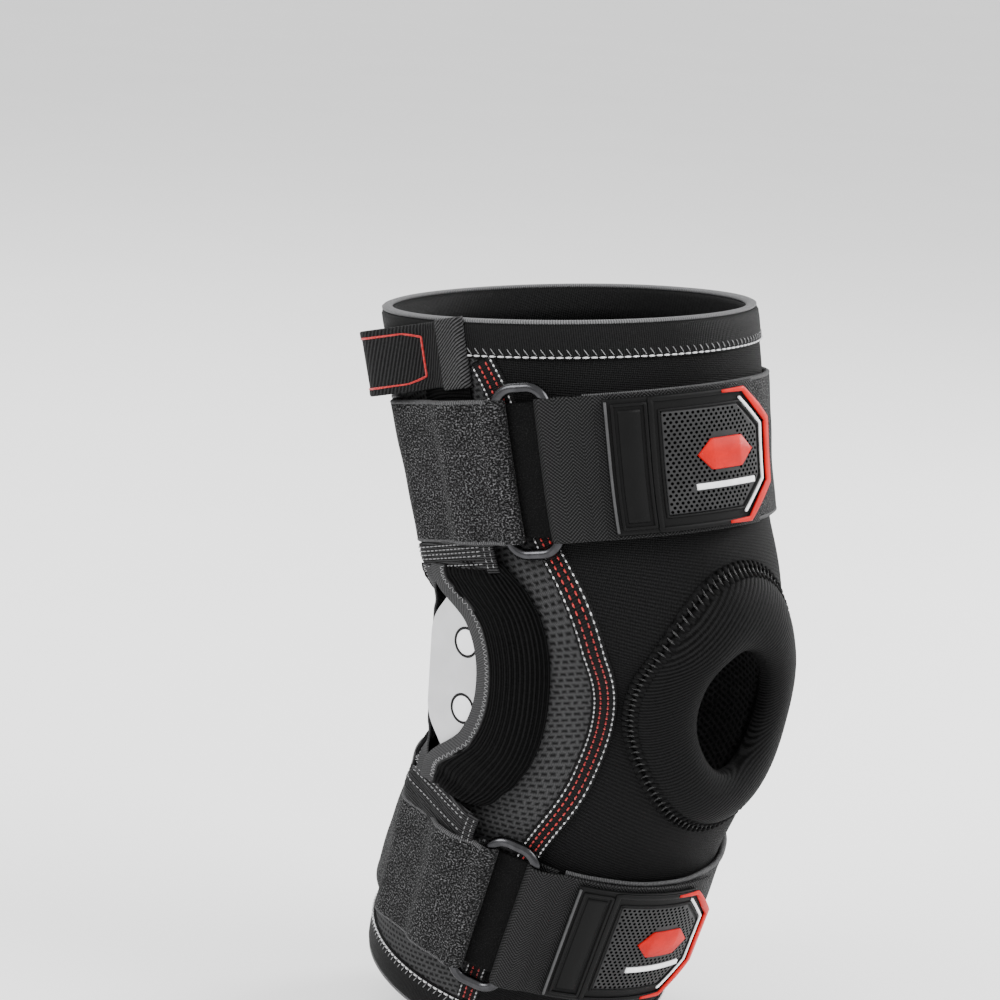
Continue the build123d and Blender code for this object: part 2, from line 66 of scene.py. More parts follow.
# The brace is built on a straight leg, in millimetres, and then bent to its rest pose, as the CAD model is.
# An angle round the leg is 0 in front, 90 on the outer side (-X) and 180 behind. A height is measured
# off the sleeve's outer face. For seams, pockets and gaskets, side is 1 on the outer half of the leg and
# -1 on the inner half. For straps, hems and bends, it is 1 above the knee's middle and -1 below it.

# ---------------------------------------------------------------- sizes in millimetres and degrees
MM = 0.001
HALF_FLEXION, PIVOT = 15.0, 12.25
SIDE_LINE, WALL = -5.0, 3.0
# (height, half width, front depth, back depth)
SECTIONS = np.array([
    (-150, 55.0, 54.5, 54.5),
    (-109, 57.5, 59.0, 57.0),
    (-58, 57.0, 63.0, 54.0),
    (-24, 58.0, 67.0, 53.0),
    (0, 58.5, 70.5, 52.5),
    (24, 59.5, 70.5, 52.5),
    (40, 61.0, 69.5, 53.5),
    (104, 64.7, 74.4, 60.6),
    (150, 65.2, 75.2, 64.0),
])
# (height, angle of the seam between front and back panel)
SEAM = np.array([
    (-150, 68), (-90, 66), (-48, 60.5), (-28, 55.3), (-12, 52.3), (3, 52.8), (17, 57), (30, 61.2),
    (47, 65.5), (100, 73.5), (120, 79.5), (150, 83),
], float)
HEM_TOP, HEM_TILT, HEM_LOW = 127.0, 9.0, -137.0
HEM_WIDTH = 13.0
STRAP_WIDTH = 51.0
BEND_NEAR = 14.0                     # the sleeve bends between this height and the cuffs' edges
THIGH_EDGE, CALF_EDGE = 45.0, 55.4   # the cuffs' edges, on the side line
THIGH_TILT, CALF_TILT = 5.0, 0.0     # how far the straps rise towards the back, in degrees
MM_PER_DEGREE = 1.2                  # round the leg, at the sleeve's face
RING_WIRE_GAP = 2.2                  # from a ring bar's centre line to the cloth round it
BAND_THICK, ELASTIC_THICK = 2.0, 1.6
FRONT_SCALE = 1.08                   # round the leg, in front
# centre and radii, round the leg towards the inner side and up, on the straight leg
PATELLA = np.array([-5.0, -5.0, 20.8, 21.8])
PAD = np.array([-3.5, -4.6, 46.0, 36.0])


def word_for(side):
    """The word in a piece's name for the outer or the inner half of the leg."""
    return "lateral" if side > 0 else "medial"


def same_shape(*values):
    """The values as arrays of one common shape."""
    return np.broadcast_arrays(*[np.asarray(v, float) for v in values])


def smoothstep(t):
    t = np.clip(t, 0, 1)
    return t * t * (3 - 2 * t)


def rows_at(table, z):
    """The table's other columns at heights z, on a smooth curve through its rows."""
    heights = table[:, 0]
    slopes = np.gradient(table, heights, axis=0)
    k = np.clip(np.searchsorted(heights, z) - 1, 0, len(heights) - 2)
    run = (heights[k + 1] - heights[k])[..., None]
    t = (z - heights[k])[..., None] / run
    made = (2 * t**3 - 3 * t**2 + 1) * table[k] + (t**3 - 2 * t**2 + t) * run * slopes[k]
    made += (3 * t**2 - 2 * t**3) * table[k + 1] + (t**3 - t**2) * run * slopes[k + 1]
    return np.moveaxis(made[..., 1:], -1, 0)


def seam_angle(z):
    return rows_at(SEAM, np.asarray(z, float))[0]


def leg(angle, height, z):
    """Points on the straight leg."""
    angle, height, z = same_shape(angle, height, z)
    half, front, back = rows_at(SECTIONS, z)
    turn = np.radians(angle)
    depth = np.where(np.cos(turn) > 0, front, back)
    x = -(half + height) * np.sin(turn)
    y = SIDE_LINE - (depth + height) * np.cos(turn)
    return np.stack([x, y, z], -1)


def turned(points, side, angle):
    """Turns points about the upper (1) or lower (-1) pivot, as a bending knee does."""
    turn = np.radians(-side * np.asarray(angle, float))
    y, z = points[..., 1], points[..., 2] - side * PIVOT
    return np.stack([points[..., 0], y * np.cos(turn) - z * np.sin(turn),
                     y * np.sin(turn) + z * np.cos(turn) + side * PIVOT], -1)


def posed(points):
    """From the straight leg to the rest pose: the cuffs turn, and the sleeve between them bends."""
    y, z = points[..., 1], points[..., 2]
    level = z * THIGH_EDGE / (THIGH_EDGE + (y - SIDE_LINE) * tan(radians(THIGH_TILT)))
    up = turned(points, 1, HALF_FLEXION * smoothstep((level - BEND_NEAR) / (THIGH_EDGE - BEND_NEAR)))
    down = turned(points, -1, HALF_FLEXION * smoothstep((-z - BEND_NEAR) / (CALF_EDGE - BEND_NEAR)))
    return np.where((z > 0)[..., None], up, down)


class Belt:
    """One strap's place: its middle height on the side line and its tilt."""

    def __init__(self, name, z, tilt, side):
        self.name, self.z, self.tilt, self.side = name, z, radians(tilt), side
        self.body = "thigh" if side > 0 else "shin"
        self.end = f"{name}_strap_end"
        self.rear_bar = self.bar(f"{name}_ring_swivel")
        self.front_bar = self.bar(f"{name}_strap_peel")

    def height(self, angle, height, w):
        """The straight leg's z at a distance w up the strap."""
        angle, height, w = same_shape(angle, height, w)
        z = self.z + w
        for _ in range(3):
            y = leg(angle, height, z)[..., 1]
            z = self.z + w / cos(self.tilt) + (y - SIDE_LINE) * tan(self.tilt)
        return z

    def place(self, angle, height, w):
        return leg(angle, height, self.height(angle, height, w))

    def bar(self, joint_name):
        """(angle, height) of a ring bar's middle, from its joint in the frame."""
        joint = next(j for j in frame["joints"] if j["name"] == joint_name)
        x, y, z = turned(np.array(joint["pos_m"]) / MM, self.side, -HALF_FLEXION)
        half, front, _ = rows_at(SECTIONS, np.array(z))
        height = 4.8    # a first guess, which each round below corrects
        for _ in range(4):
            angle = np.arctan2(-x / (half + height), (SIDE_LINE - y) / (front + height))
            height = -x / np.sin(angle) - half
        return float(np.degrees(angle)), float(height)


THIGH = Belt("thigh", 73.0, THIGH_TILT, 1)
CALF = Belt("calf", -83.5, CALF_TILT, -1)


# ---------------------------------------------------------------- mesh tools
def new_object(name, points, faces, material, uvs=None):
    """A smooth-shaded mesh from rest-pose points in millimetres."""
    mesh = bpy.data.meshes.new(name)
    mesh.from_pydata((np.asarray(points) * MM).tolist(), [], faces)
    if uvs is not None:
        layer = mesh.uv_layers.new(name="UVMap")
        index = np.zeros(len(mesh.loops), np.int32)
        mesh.loops.foreach_get("vertex_index", index)
        layer.data.foreach_set("uv", np.asarray(uvs, np.float32)[index].ravel())
    mesh.polygons.foreach_set("use_smooth", np.ones(len(mesh.polygons), bool))
    mesh.update()
    made = bpy.data.objects.new(name, mesh)
    bpy.context.scene.collection.objects.link(made)
    mesh.materials.append(material)
    return made


def tidy_mesh(made, merge=0.00002):
    """Joins coincident points, drops empty faces and turns the faces outward."""
    mesh = bmesh.new()
    mesh.from_mesh(made.data)
    bmesh.ops.remove_doubles(mesh, verts=mesh.verts, dist=merge)
    bmesh.ops.dissolve_degenerate(mesh, edges=mesh.edges, dist=merge / 4)
    bmesh.ops.recalc_face_normals(mesh, faces=mesh.faces)
    mesh.to_mesh(made.data)
    mesh.free()
    return made


def stations(low, high, step, edge=1.0):
    """Places from low to high, close together near both ends, where an edge is rounded."""
    ease = edge * np.array([0.0, 0.06, 0.25, 0.58])
    inner = np.linspace(low + edge, high - edge, max(2, ceil((high - low - 2 * edge) / step) + 1))
    return np.concatenate([low + ease, inner, high - ease[::-1]])


def edge_share(places, edge):
    """0 at both ends of a row of stations, rising on a quarter circle to 1 at a distance from them."""
    near = np.minimum(places - places[0], places[-1] - places) / edge
    return np.sqrt(1 - (1 - np.clip(near, 0, 1)) ** 2)


def grid_faces(rows, columns, closed_section=False):
    last = columns if closed_section else columns - 1
    k, j = np.meshgrid(np.arange(rows - 1), np.arange(last), indexing="ij")
    a = k * columns + j
    b = k * columns + (j + 1) % columns
    return np.stack([a, a + columns, b + columns, b], -1).reshape(-1, 4)


def grid_normals(points, closed):
    """Unit normals of a grid of points. In a closed one, the last row is the first again."""
    along = np.gradient(points, axis=0)
    if closed:
        along[0] = along[-1] = points[1] - points[-2]
    normal = np.cross(along, np.gradient(points, axis=1))
    return normal / np.maximum(np.linalg.norm(normal, axis=-1, keepdims=True), 1e-9)


def cloth(name, middle, thick, material, us, vs, edge=(1.0, 1.0), closed=False, hole=None):
    """A sheet with rounded edges. middle is the grid of its mid surface on the straight leg."""
    middle = posed(middle)
    normal = grid_normals(middle, closed)
    share_u = np.ones(len(us)) if closed else edge_share(us, edge[0])
    offset = normal * (share_u[:, None] * edge_share(vs, edge[1]))[..., None] * thick / 2
    rows, columns = middle.shape[:2]
    faces = grid_faces(rows, columns)
    if hole is not None:
        faces = faces[~hole.ravel()[faces].all(1)]
    both = np.concatenate([faces, faces[:, ::-1] + rows * columns])
    uv = np.stack(np.meshgrid(us, vs, indexing="ij"), -1).reshape(-1, 2)
    points = np.concatenate([(middle + offset).reshape(-1, 3), (middle - offset).reshape(-1, 3)])
    return tidy_mesh(new_object(name, points, both.tolist(), material, np.concatenate([uv, uv])))


def swept(name, sections, material, along, across, closed=False):
    """A solid whose section, a closed ring of points, changes along it. sections is in the rest pose."""
    rows, columns = sections.shape[:2]
    faces = grid_faces(rows, columns, closed_section=True).tolist()
    if not closed:
        faces.append(list(range(columns)))
        faces.append(list(range((rows - 1) * columns, rows * columns)))
    uv = np.stack(np.meshgrid(along, across, indexing="ij"), -1).reshape(-1, 2)
    return tidy_mesh(new_object(name, sections.reshape(-1, 3), faces, material, uv))


SHORTEST_CHORD = 0.1


def tubes(name, paths, radius, material, sides=6, taper=(0.45, 0.95, 1.0, 0.95, 0.45)):
    """Short threads: paths is (threads, points along each, 3) in the rest pose."""
    paths = np.asarray(paths, float)
    # a thread that was pressed against an edge loses its direction there, and is left out
    paths = paths[np.linalg.norm(paths[:, 2:] - paths[:, :-2], axis=-1).min(1) > SHORTEST_CHORD]
    count, along = paths.shape[:2]
    tangent = np.gradient(paths, axis=1)
    tangent /= np.maximum(np.linalg.norm(tangent, axis=-1, keepdims=True), 1e-9)
    upright = np.abs(tangent[..., 2:]) > 0.9
    reference = np.where(upright, (1.0, 0.0, 0.0), (0.0, 0.0, 1.0))
    first = np.cross(tangent, reference)
    first /= np.linalg.norm(first, axis=-1, keepdims=True)
    second = np.cross(tangent, first)
    turn = np.linspace(0, 2 * pi, sides, endpoint=False)
    size = radius * np.interp(np.linspace(0, 1, along), np.linspace(0, 1, len(taper)), taper)
    ring = (first[:, :, None] * np.cos(turn)[:, None] + second[:, :, None] * np.sin(turn)[:, None])
    points = paths[:, :, None] + ring * size[:, None, None]
    faces = []
    for k in range(along - 1):
        for s in range(sides):
            faces.append((k * sides + s, k * sides + (s + 1) % sides,
                          (k + 1) * sides + (s + 1) % sides, (k + 1) * sides + s))
    faces.append(tuple(reversed(range(sides))))
    faces.append(tuple(range((along - 1) * sides, along * sides)))
    everything = [tuple(i + n * along * sides for i in face) for n in range(count) for face in faces]
    return new_object(name, points.reshape(-1, 3), everything, material)


def stitch_paths(place, starts, ends, sink=0.25, bulge=0.35):
    """Arched thread paths from start to end. place maps (u, v, height) to straight-leg points."""
    share = np.linspace(0, 1, 5)
    lift = -sink + (sink + bulge) * np.sin(share * pi) ** 0.6
    starts, ends = np.asarray(starts, float), np.asarray(ends, float)
    u = starts[:, :1] + (ends[:, :1] - starts[:, :1]) * share
    v = starts[:, 1:2] + (ends[:, 1:2] - starts[:, 1:2]) * share
    h = np.broadcast_to(lift, u.shape)
    if starts.shape[1] > 2:
        h = h + starts[:, 2:3] + (ends[:, 2:3] - starts[:, 2:3]) * share
    return posed(place(u, v, h))


def thread_ends(*values):
    """Rows of (u, v, height), where each value is one number or one for each thread."""
    return np.stack(same_shape(*values), -1)


def flexes(made):
    """Bakes a soft piece's placement into its mesh."""
    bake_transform(made)
    return made


def halves(made, slot, *replaced):
    """Cuts a soft piece at the knee's middle into an upper and a lower half, which keep the whole piece's
    normals.
    """
    mesh = made.data
    normals = mesh.attributes.new("rest_normal", "FLOAT_VECTOR", "POINT")
    normals.data.foreach_set("vector", np.array([v.normal for v in mesh.vertices], np.float32).ravel())
    parts = []
    for side, word in ((1, "upper"), (-1, "lower")):
        half = bmesh.new()
        half.from_mesh(mesh)
        geometry = half.verts[:] + half.edges[:] + half.faces[:]
        bmesh.ops.bisect_plane(half, geom=geometry, dist=1e-7, plane_co=(0, 0, 0), plane_no=(0, 0, 1),
                               clear_inner=side > 0, clear_outer=side < 0)
        name = f"{made.name}_{word}"
        copy = bpy.data.meshes.new(name)
        half.to_mesh(copy)
        half.free()
        if not copy.vertices:
            continue
        kept = np.zeros(len(copy.vertices) * 3, np.float32)
        copy.attributes["rest_normal"].data.foreach_get("vector", kept)
        copy.attributes.remove(copy.attributes["rest_normal"])
        copy.materials.append(mesh.materials[0])
        piece = bpy.data.objects.new(name, copy)
        bpy.context.scene.collection.objects.link(piece)
        copy.normals_split_custom_set_from_vertices(kept.reshape(-1, 3).tolist())
        finished(flexes(piece), slot, *replaced)
        parts.append(piece)
    bpy.data.objects.remove(made)
    return parts


def finished(made, slot, *replaced):
    if replaced:
        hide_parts(*replaced)
    return made


def rides(made, body, slot, *replaced):
    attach(made, body)
    return finished(made, slot, *replaced)


def split_threads(name, paths, radius, material, slot, **look):
    """Threads on the sleeve, those above the knee's middle in one piece and those below it in another."""
    paths = np.asarray(paths)
    above = paths[:, :, 2].mean(1) > 0
    for side, chosen in ((1, above), (-1, ~above)):
        if chosen.any():
            word = "upper" if side > 0 else "lower"
            made = tubes(f"{name}_{word}", paths[chosen], radius, material, **look)
            finished(flexes(made), slot)


# ---------------------------------------------------------------- materials
class Look:
    """A principled material and short ways to build the pattern that feeds it."""

    def __init__(self, name, colour, rough, metal=0.0, sheen=0.0, coat=0.0, specular=0.4):
        self.made = bpy.data.materials.new(name)
        self.made.use_nodes = True
        self.tree = self.made.node_tree
        self.shader = self.tree.nodes["Principled BSDF"]
        values = {"Roughness": rough, "Metallic": metal, "Sheen Weight": sheen, "Sheen Roughness": 0.4,
                  "Coat Weight": coat, "Coat Roughness": 0.25, "Specular IOR Level": specular}
        for socket, value in values.items():
            self.shader.inputs[socket].default_value = value
        self.shader.inputs["Base Color"].default_value = (*colour, 1)

    def add(self, kind, settings, inputs, output=0):
        node = self.tree.nodes.new(kind)
        for key, value in settings.items():
            setattr(node, key, value)
        for key, value in inputs.items():
            if isinstance(value, bpy.types.NodeSocket):
                self.tree.links.new(value, node.inputs[key])
            else:
                node.inputs[key].default_value = value
        return node.outputs[output]

    def math(self, operation, a, b=0.0):
        return self.add("ShaderNodeMath", {"operation": operation}, {0: a, 1: b})

    def weighed(self, a, weight_a, b, weight_b):
        """The sum of two patterns, each with its weight."""
        return self.math("ADD", self.math("MULTIPLY", a, weight_a), self.math("MULTIPLY", b, weight_b))

    def uv(self):
        return self.add("ShaderNodeTexCoord", {}, {}, "UV")

    def in_space(self):
        """Object coordinates in millimetres, for pieces without a map."""
        space = self.add("ShaderNodeTexCoord", {}, {}, "Object")
        return self.add("ShaderNodeVectorMath", {"operation": "SCALE"}, {0: space, "Scale": 1 / MM})

    def turned(self, vector, angle, scale=(1, 1, 1)):
        inputs = {0: vector, "Rotation": (0, 0, radians(angle)), "Scale": scale}
        return self.add("ShaderNodeMapping", {}, inputs)

    def sine(self, vector, across, along):
        """A wave from -1 to 1 with this many crests for each millimetre."""
        phase = self.add("ShaderNodeVectorMath", {"operation": "DOT_PRODUCT"},
                         {0: vector, 1: (2 * pi * across, 2 * pi * along, 0)}, "Value")
        return self.math("SINE", phase)

    def noise(self, vector, size, detail=2.0, rough=0.6):
        """Noise from 0 to 1 with features of this size in millimetres."""
        return self.add("ShaderNodeTexNoise", {}, {"Vector": vector, "Scale": 1 / size, "Detail": detail,
                                                   "Roughness": rough})

    def between(self, value, low, high, start=0.0, end=1.0):
        return self.add("ShaderNodeMapRange", {"interpolation_type": "SMOOTHSTEP"},
                        {0: value, 1: low, 2: high, 3: start, 4: end})

    def tinted(self, share, low, high):
        """Base colour that goes from one colour to another as share goes from 0 to 1."""
        mix = self.tree.nodes.new("ShaderNodeMix")
        mix.data_type = "RGBA"
        self.tree.links.new(share, mix.inputs["Factor"])
        mix.inputs[6].default_value = (*low, 1)
        mix.inputs[7].default_value = (*high, 1)
        self.tree.links.new(mix.outputs[2], self.shader.inputs["Base Color"])

    def roughened(self, share, low, high):
        self.tree.links.new(self.between(share, 0, 1, low, high), self.shader.inputs["Roughness"])

    def bumped(self, height, depth):
        """Bump of this depth in millimetres for a height from 0 to 1."""
        inputs = {"Height": height, "Distance": depth * MM, "Strength": 1.0}
        normal = self.add("ShaderNodeBump", {}, inputs)
        self.tree.links.new(normal, self.shader.inputs["Normal"])


def grey(value):
    return (value, value, value * 1.02)


def scaled(colour, factor):
    return tuple(min(1.0, c * factor) for c in colour)


def jersey_look(name, dark, light, pitch, slant, depth=0.12):
    """Fine knit over foam: slanted rows of small stitches."""
    look = Look(name, grey(dark), 0.75, specular=0.05)
    uv = look.uv()
    rows = look.sine(uv, slant / pitch, 1 / pitch)
    cross = look.sine(uv, 1 / pitch, -0.45 * slant / pitch)
    stitch = look.math("MULTIPLY", rows, cross)
    fuzz = look.noise(uv, 0.6)
    height = look.weighed(stitch, 0.3, fuzz, 0.9)
    share = look.between(height, 0.1, 0.95)
    look.tinted(share, grey(dark), grey(light))
    look.roughened(share, 0.62, 0.9)
    look.bumped(share, depth)
    return look.made


def mesh_knit_look():
    """Spacer mesh: staggered dark slots between raised light yarns."""
    look = Look("mesh knit", grey(0.03), 0.8, specular=0.06)
    uv = look.turned(look.uv(), 12)
    wobble = look.noise(uv, 2.5)
    drift = look.add("ShaderNodeCombineXYZ", {}, {0: wobble, 1: wobble})
    moved = look.add("ShaderNodeVectorMath", {"operation": "MULTIPLY_ADD"},
                     {0: drift, 1: (2.2, 0.9, 0), 2: uv})
    slots = look.add("ShaderNodeTexBrick", {"offset": 0.5, "squash": 1.0},
                     {"Vector": moved, "Scale": 1.0, "Mortar Size": 1.32, "Mortar Smooth": 1.0,
                      "Brick Width": 3.0, "Row Height": 2.05}, "Fac")
    yarn = look.math("MULTIPLY", look.sine(uv, 1.35, 0.5), look.sine(uv, -0.35, 1.5))
    fuzz = look.noise(uv, 0.5)
    yarns = look.weighed(yarn, 0.22, fuzz, 0.55)
    height = look.math("MULTIPLY", slots, look.math("ADD", yarns, 0.45))
    share = look.between(height, 0.05, 1.05)
    look.tinted(share, grey(0.004), grey(0.056))
    look.bumped(share, 0.35)
    return look.made


def loop_pile_look(name="loop pile", dark=0.004, light=0.16, size=0.66):
    """Brushed loops: a dark ground with light tangled hooks of yarn."""
    look = Look(name, grey(dark), 0.95, sheen=0.03, specular=0.06)
    uv = look.uv()
    tangle = look.noise(uv, size, detail=3.0, rough=0.65)
    worn = look.noise(uv, 9.0)
    share = look.between(tangle, 0.46, 0.74)
    tint = look.math("MULTIPLY", share, look.between(worn, 0.25, 0.75, 0.6, 1.0))
    look.tinted(tint, grey(dark), grey(light))
    look.bumped(tangle, 0.45)
    return look.made


def herringbone_look():
    """Woven elastic with zigzag columns."""
    look = Look("herringbone elastic", grey(0.008), 0.7, specular=0.1)
    uv = look.uv()
    split = look.add("ShaderNodeSeparateXYZ", {}, {0: uv})
    fold = look.math("PINGPONG", split, 4.2)
    along = look.add("ShaderNodeSeparateXYZ", {}, {0: uv}, 1)
    zigzag = look.add("ShaderNodeCombineXYZ", {}, {0: fold, 1: along})
    twill = look.sine(zigzag, 0.8, 0.8)
    yarns = look.sine(zigzag, -0.85, 0.85)
    height = look.weighed(twill, 0.55, yarns, 0.28)
    share = look.between(height, -0.45, 0.85)
    look.tinted(share, grey(0.0012), grey(0.03))
    look.roughened(share, 0.5, 0.8)
    look.bumped(share, 0.3)
    return look.made


def ribbed_look(name, dark, light, across, along, depth=0.3, specular=0.08):
    """Cloth with fine ribs: across and along are ribs for each millimetre in the map's two directions."""
    look = Look(name, grey(dark), 0.72, specular=specular)
    uv = look.uv()
    rib = look.sine(uv, across, along)
    yarn = look.sine(uv, along * 1.6 + 0.3, across * 1.6 + 0.3)
    fuzz = look.noise(uv, 0.7)
    height = look.weighed(rib, 0.35, yarn, 0.1)
    share = look.between(look.math("ADD", height, fuzz), 0.1, 0.95)
    look.tinted(share, grey(dark), grey(light))
    look.roughened(share, 0.55, 0.85)
    look.bumped(share, depth)
    return look.made


def moulded_look(name, colour, rough, grain=0.35, specular=0.14):
    """Moulded rubber or plastic with a fine grain and faint rubbing."""
    look = Look(name, colour, rough, specular=specular)
    space = look.in_space()
    fine = look.noise(space, grain, detail=3.0)
    broad = look.noise(space, 7.0, detail=3.0)
    look.tinted(look.between(broad, 0.3, 0.8), colour, scaled(colour, 1.4))
    look.roughened(broad, rough - 0.08, rough + 0.1)
    look.bumped(fine, 0.05)
    return look.made


def metal_look(name, colour, rough, brush=(1, 1, 14), depth=0.02):
    """Brushed metal: long fine scratches along one direction."""
    look = Look(name, colour, rough, metal=1.0)
    space = look.in_space()
    lines = look.noise(look.turned(space, 0, brush), 1.1, detail=3.0)
    worn = look.noise(space, 5.0, detail=2.0)
    look.tinted(look.between(worn, 0.3, 0.75), colour, scaled(colour, 1.5))
    look.roughened(lines, max(0.05, rough - 0.1), rough + 0.14)
    look.bumped(lines, depth)
    return look.made


def painted_look(name, colour, rough):
    """Satin powder coat, with a faint orange peel and duller spots."""
    look = Look(name, colour, rough, metal=0.15, coat=0.15)
    space = look.in_space()
    peel = look.noise(space, 0.45, detail=2.0)
    broad = look.noise(space, 12.0, detail=2.0)
    look.tinted(look.between(broad, 0.3, 0.75), scaled(colour, 0.9), colour)
    look.roughened(broad, rough - 0.06, rough + 0.08)
    look.bumped(peel, 0.03)
    return look.made


def thread_look(name, colour):
    """Twisted sewing thread."""
    look = Look(name, colour, 0.55, sheen=0.3, specular=0.5)
    space = look.in_space()
    twist = look.sine(space, 1.7, 1.7)
    fuzz = look.noise(space, 0.4)
    share = look.between(look.math("ADD", look.math("MULTIPLY", twist, 0.3), fuzz), 0.1, 0.9)
    look.tinted(share, scaled(colour, 0.55), colour)
    look.bumped(share, 0.12)
    return look.made


NEOPRENE = jersey_look("neoprene jersey", 0.0006, 0.013, 1.3, 0.8, depth=0.25)
PAD_JERSEY = ribbed_look("pad jersey", 0.0006, 0.009, 0.0, 1 / 1.0, depth=0.22, specular=0.05)
MESH = mesh_knit_look()
PILE = loop_pile_look()
HOOKS = loop_pile_look("hook tape", 0.003, 0.02, 0.5)
ELASTIC = herringbone_look()
BINDING = ribbed_look("binding tape", 0.001, 0.010, 1 / 0.8, 0.0, depth=0.18)
PIPING = ribbed_look("rim piping", 0.05, 0.15, 1 / 0.9, 0.0, depth=0.12)
SEAM_TAPE = ribbed_look("seam tape", 0.001, 0.010, 0.0, 1 / 0.7, depth=0.15)
POCKET = ribbed_look("ribbed elastic", 0.0003, 0.0065, 1 / 0.62, 0.0, depth=0.15, specular=0.03)
WINDOW_TAPE = ribbed_look("window tape", 0.022, 0.046, 0.45, 1 / 0.9, depth=0.14)
END_TAPE = ribbed_look("pocket end tape", 0.001, 0.036, 0.1, 1 / 0.8, depth=0.3)
WEBBING = ribbed_look("webbing", 0.0015, 0.022, 1 / 1.25, 0.25, depth=0.35)
NET = ribbed_look("net binding", 0.0015, 0.06, 0.8, 0.8, depth=0.4)
SELVAGE = ribbed_look("selvage", 0.02, 0.10, 1 / 0.7, 0.0, depth=0.2)
RUBBER = moulded_look("black rubber", grey(0.002), 0.5, specular=0.11)
FIELD_RUBBER = moulded_look("dark grey rubber", grey(0.02), 0.42)
SLOT_RUBBER = moulded_look("perforation rubber", grey(0.0004), 0.8, specular=0.0)
EDGE_RUBBER = moulded_look("light grey rubber", grey(0.045), 0.4)
RED_RUBBER = moulded_look("red rubber", (0.38, 0.0015, 0.001), 0.45)
WHITE_RUBBER = moulded_look("white rubber", grey(0.75), 0.4)
PLATE_PAINT = painted_look("satin grey paint", grey(0.50), 0.42)
DISC_PAINT = painted_look("white disc", grey(0.80), 0.32)
# black rubber for the window tapes' cords, and for the painted shade rings round the rivets' discs
CORD_AND_SHADE_RING_RUBBER = moulded_look("black gasket", grey(0.003), 0.5)
RING_METAL = metal_look("dark chrome", (0.035, 0.035, 0.037), 0.22, depth=0.012)
ARM_METAL = metal_look("dark anodised aluminium", (0.035, 0.035, 0.037), 0.4)
NYLON = moulded_look("nylon", grey(0.55), 0.45)
RED_THREAD = thread_look("red thread", (0.52, 0.002, 0.0015))
WHITE_THREAD = thread_look("white thread", grey(0.72))
GREY_THREAD = thread_look("grey thread", grey(0.20))
DARK_THREAD = thread_look("black thread", grey(0.006))


# ---------------------------------------------------------------- sleeve
def sleeve_height(angle, level):
    """The height at an angle of the line round the sleeve that crosses the side line at a level."""
    tilts = np.interp(level, (0, 20, THIGH_EDGE, 100, HEM_TOP), (0, 0, THIGH_TILT, THIGH_TILT, HEM_TILT))
    z = np.asarray(level, float)
    for _ in range(4):
        z = level + (leg(angle, 0, z)[..., 1] - SIDE_LINE) * np.tan(np.radians(tilts))
    return z


def sleeve_grid(span, columns, step):
    """Angles and heights of a grid over the whole sleeve. span(z) gives its two edges' angles."""
    levels = stations(HEM_LOW + 1.5, HEM_TOP - 1.5, step)
    share = np.linspace(0, 1, columns)[:, None]
    level = np.broadcast_to(levels, (columns, len(levels)))
    z = level
    for _ in range(4):
        low, high = span(z)
        angle = low + (high - low) * share
        z = sleeve_height(angle, level)
    return angle, z, levels


def wrinkles(angle, z):
    """Folds of the mesh behind the knee, where a bent leg gathers it."""
    behind = np.exp(-((angle - 180) / 46) ** 2) * np.exp(-(z / 27) ** 2)
    lean = z + 0.05 * (angle - 180) * np.sin(z / 9)
    return behind * (1.5 * np.cos(2 * pi * lean / 15.5) + 0.5 * np.cos(2 * pi * lean / 7.3 + 1))


def soft_unevenness(angle, z):
    """The slow swells of foam-backed cloth."""
    return 0.22 * np.sin(angle / 9 + z / 23) + 0.18 * np.sin(z / 8.5 - angle / 17 + 1.3)


def make_sleeve():
    angle, z, levels = sleeve_grid(lambda at: (-seam_angle(at), seam_angle(at)), 90, 2.4)
    points = leg(angle, -WALL / 2 + soft_unevenness(angle, z), z)
    radii = PATELLA[2:] + 6
    hole = ((-angle * FRONT_SCALE - PATELLA[0]) / radii[0]) ** 2 + ((z - PATELLA[1]) / radii[1]) ** 2 < 1
    us = np.linspace(-70, 70, 90) * MM_PER_DEGREE
    front = cloth("sleeve_front", points, WALL, NEOPRENE, us, levels, hole=hole)
    halves(front, "neoprene", "thigh_front_panel", "knee_front_panel", "shin_front_panel")

    angle, z, levels = sleeve_grid(lambda at: (seam_angle(at), 360 - seam_angle(at)), 130, 2.0)
    points = leg(angle, -WALL / 2 + soft_unevenness(angle, z) + wrinkles(angle, z), z)
    us = np.linspace(66, 294, 130) * MM_PER_DEGREE
    back = cloth("sleeve_back", points, WALL, MESH, us, levels)
    halves(back, "mesh_knit", "thigh_back_panel", "shin_back_panel", "upper_flex_panel", "lower_flex_panel")


# ---------------------------------------------------------------- seams
SEAM_HALF, SEAM_PITCH = 4.7, 1.85


def seam_profile(across):
    """Height of the seam tape: two ridges beside a middle one, with sewn grooves between."""
    sewn = np.abs(np.abs(across) - 1.35) < 1.0
    groove = np.where(sewn, np.cos((np.abs(across) - 1.35) * pi / 2) ** 2, 0)
    edge = np.cos(np.clip((np.abs(across) - 3.3) / 1.4, 0, 1) * pi / 2)
    return 0.25 + 0.85 * edge - 0.5 * groove


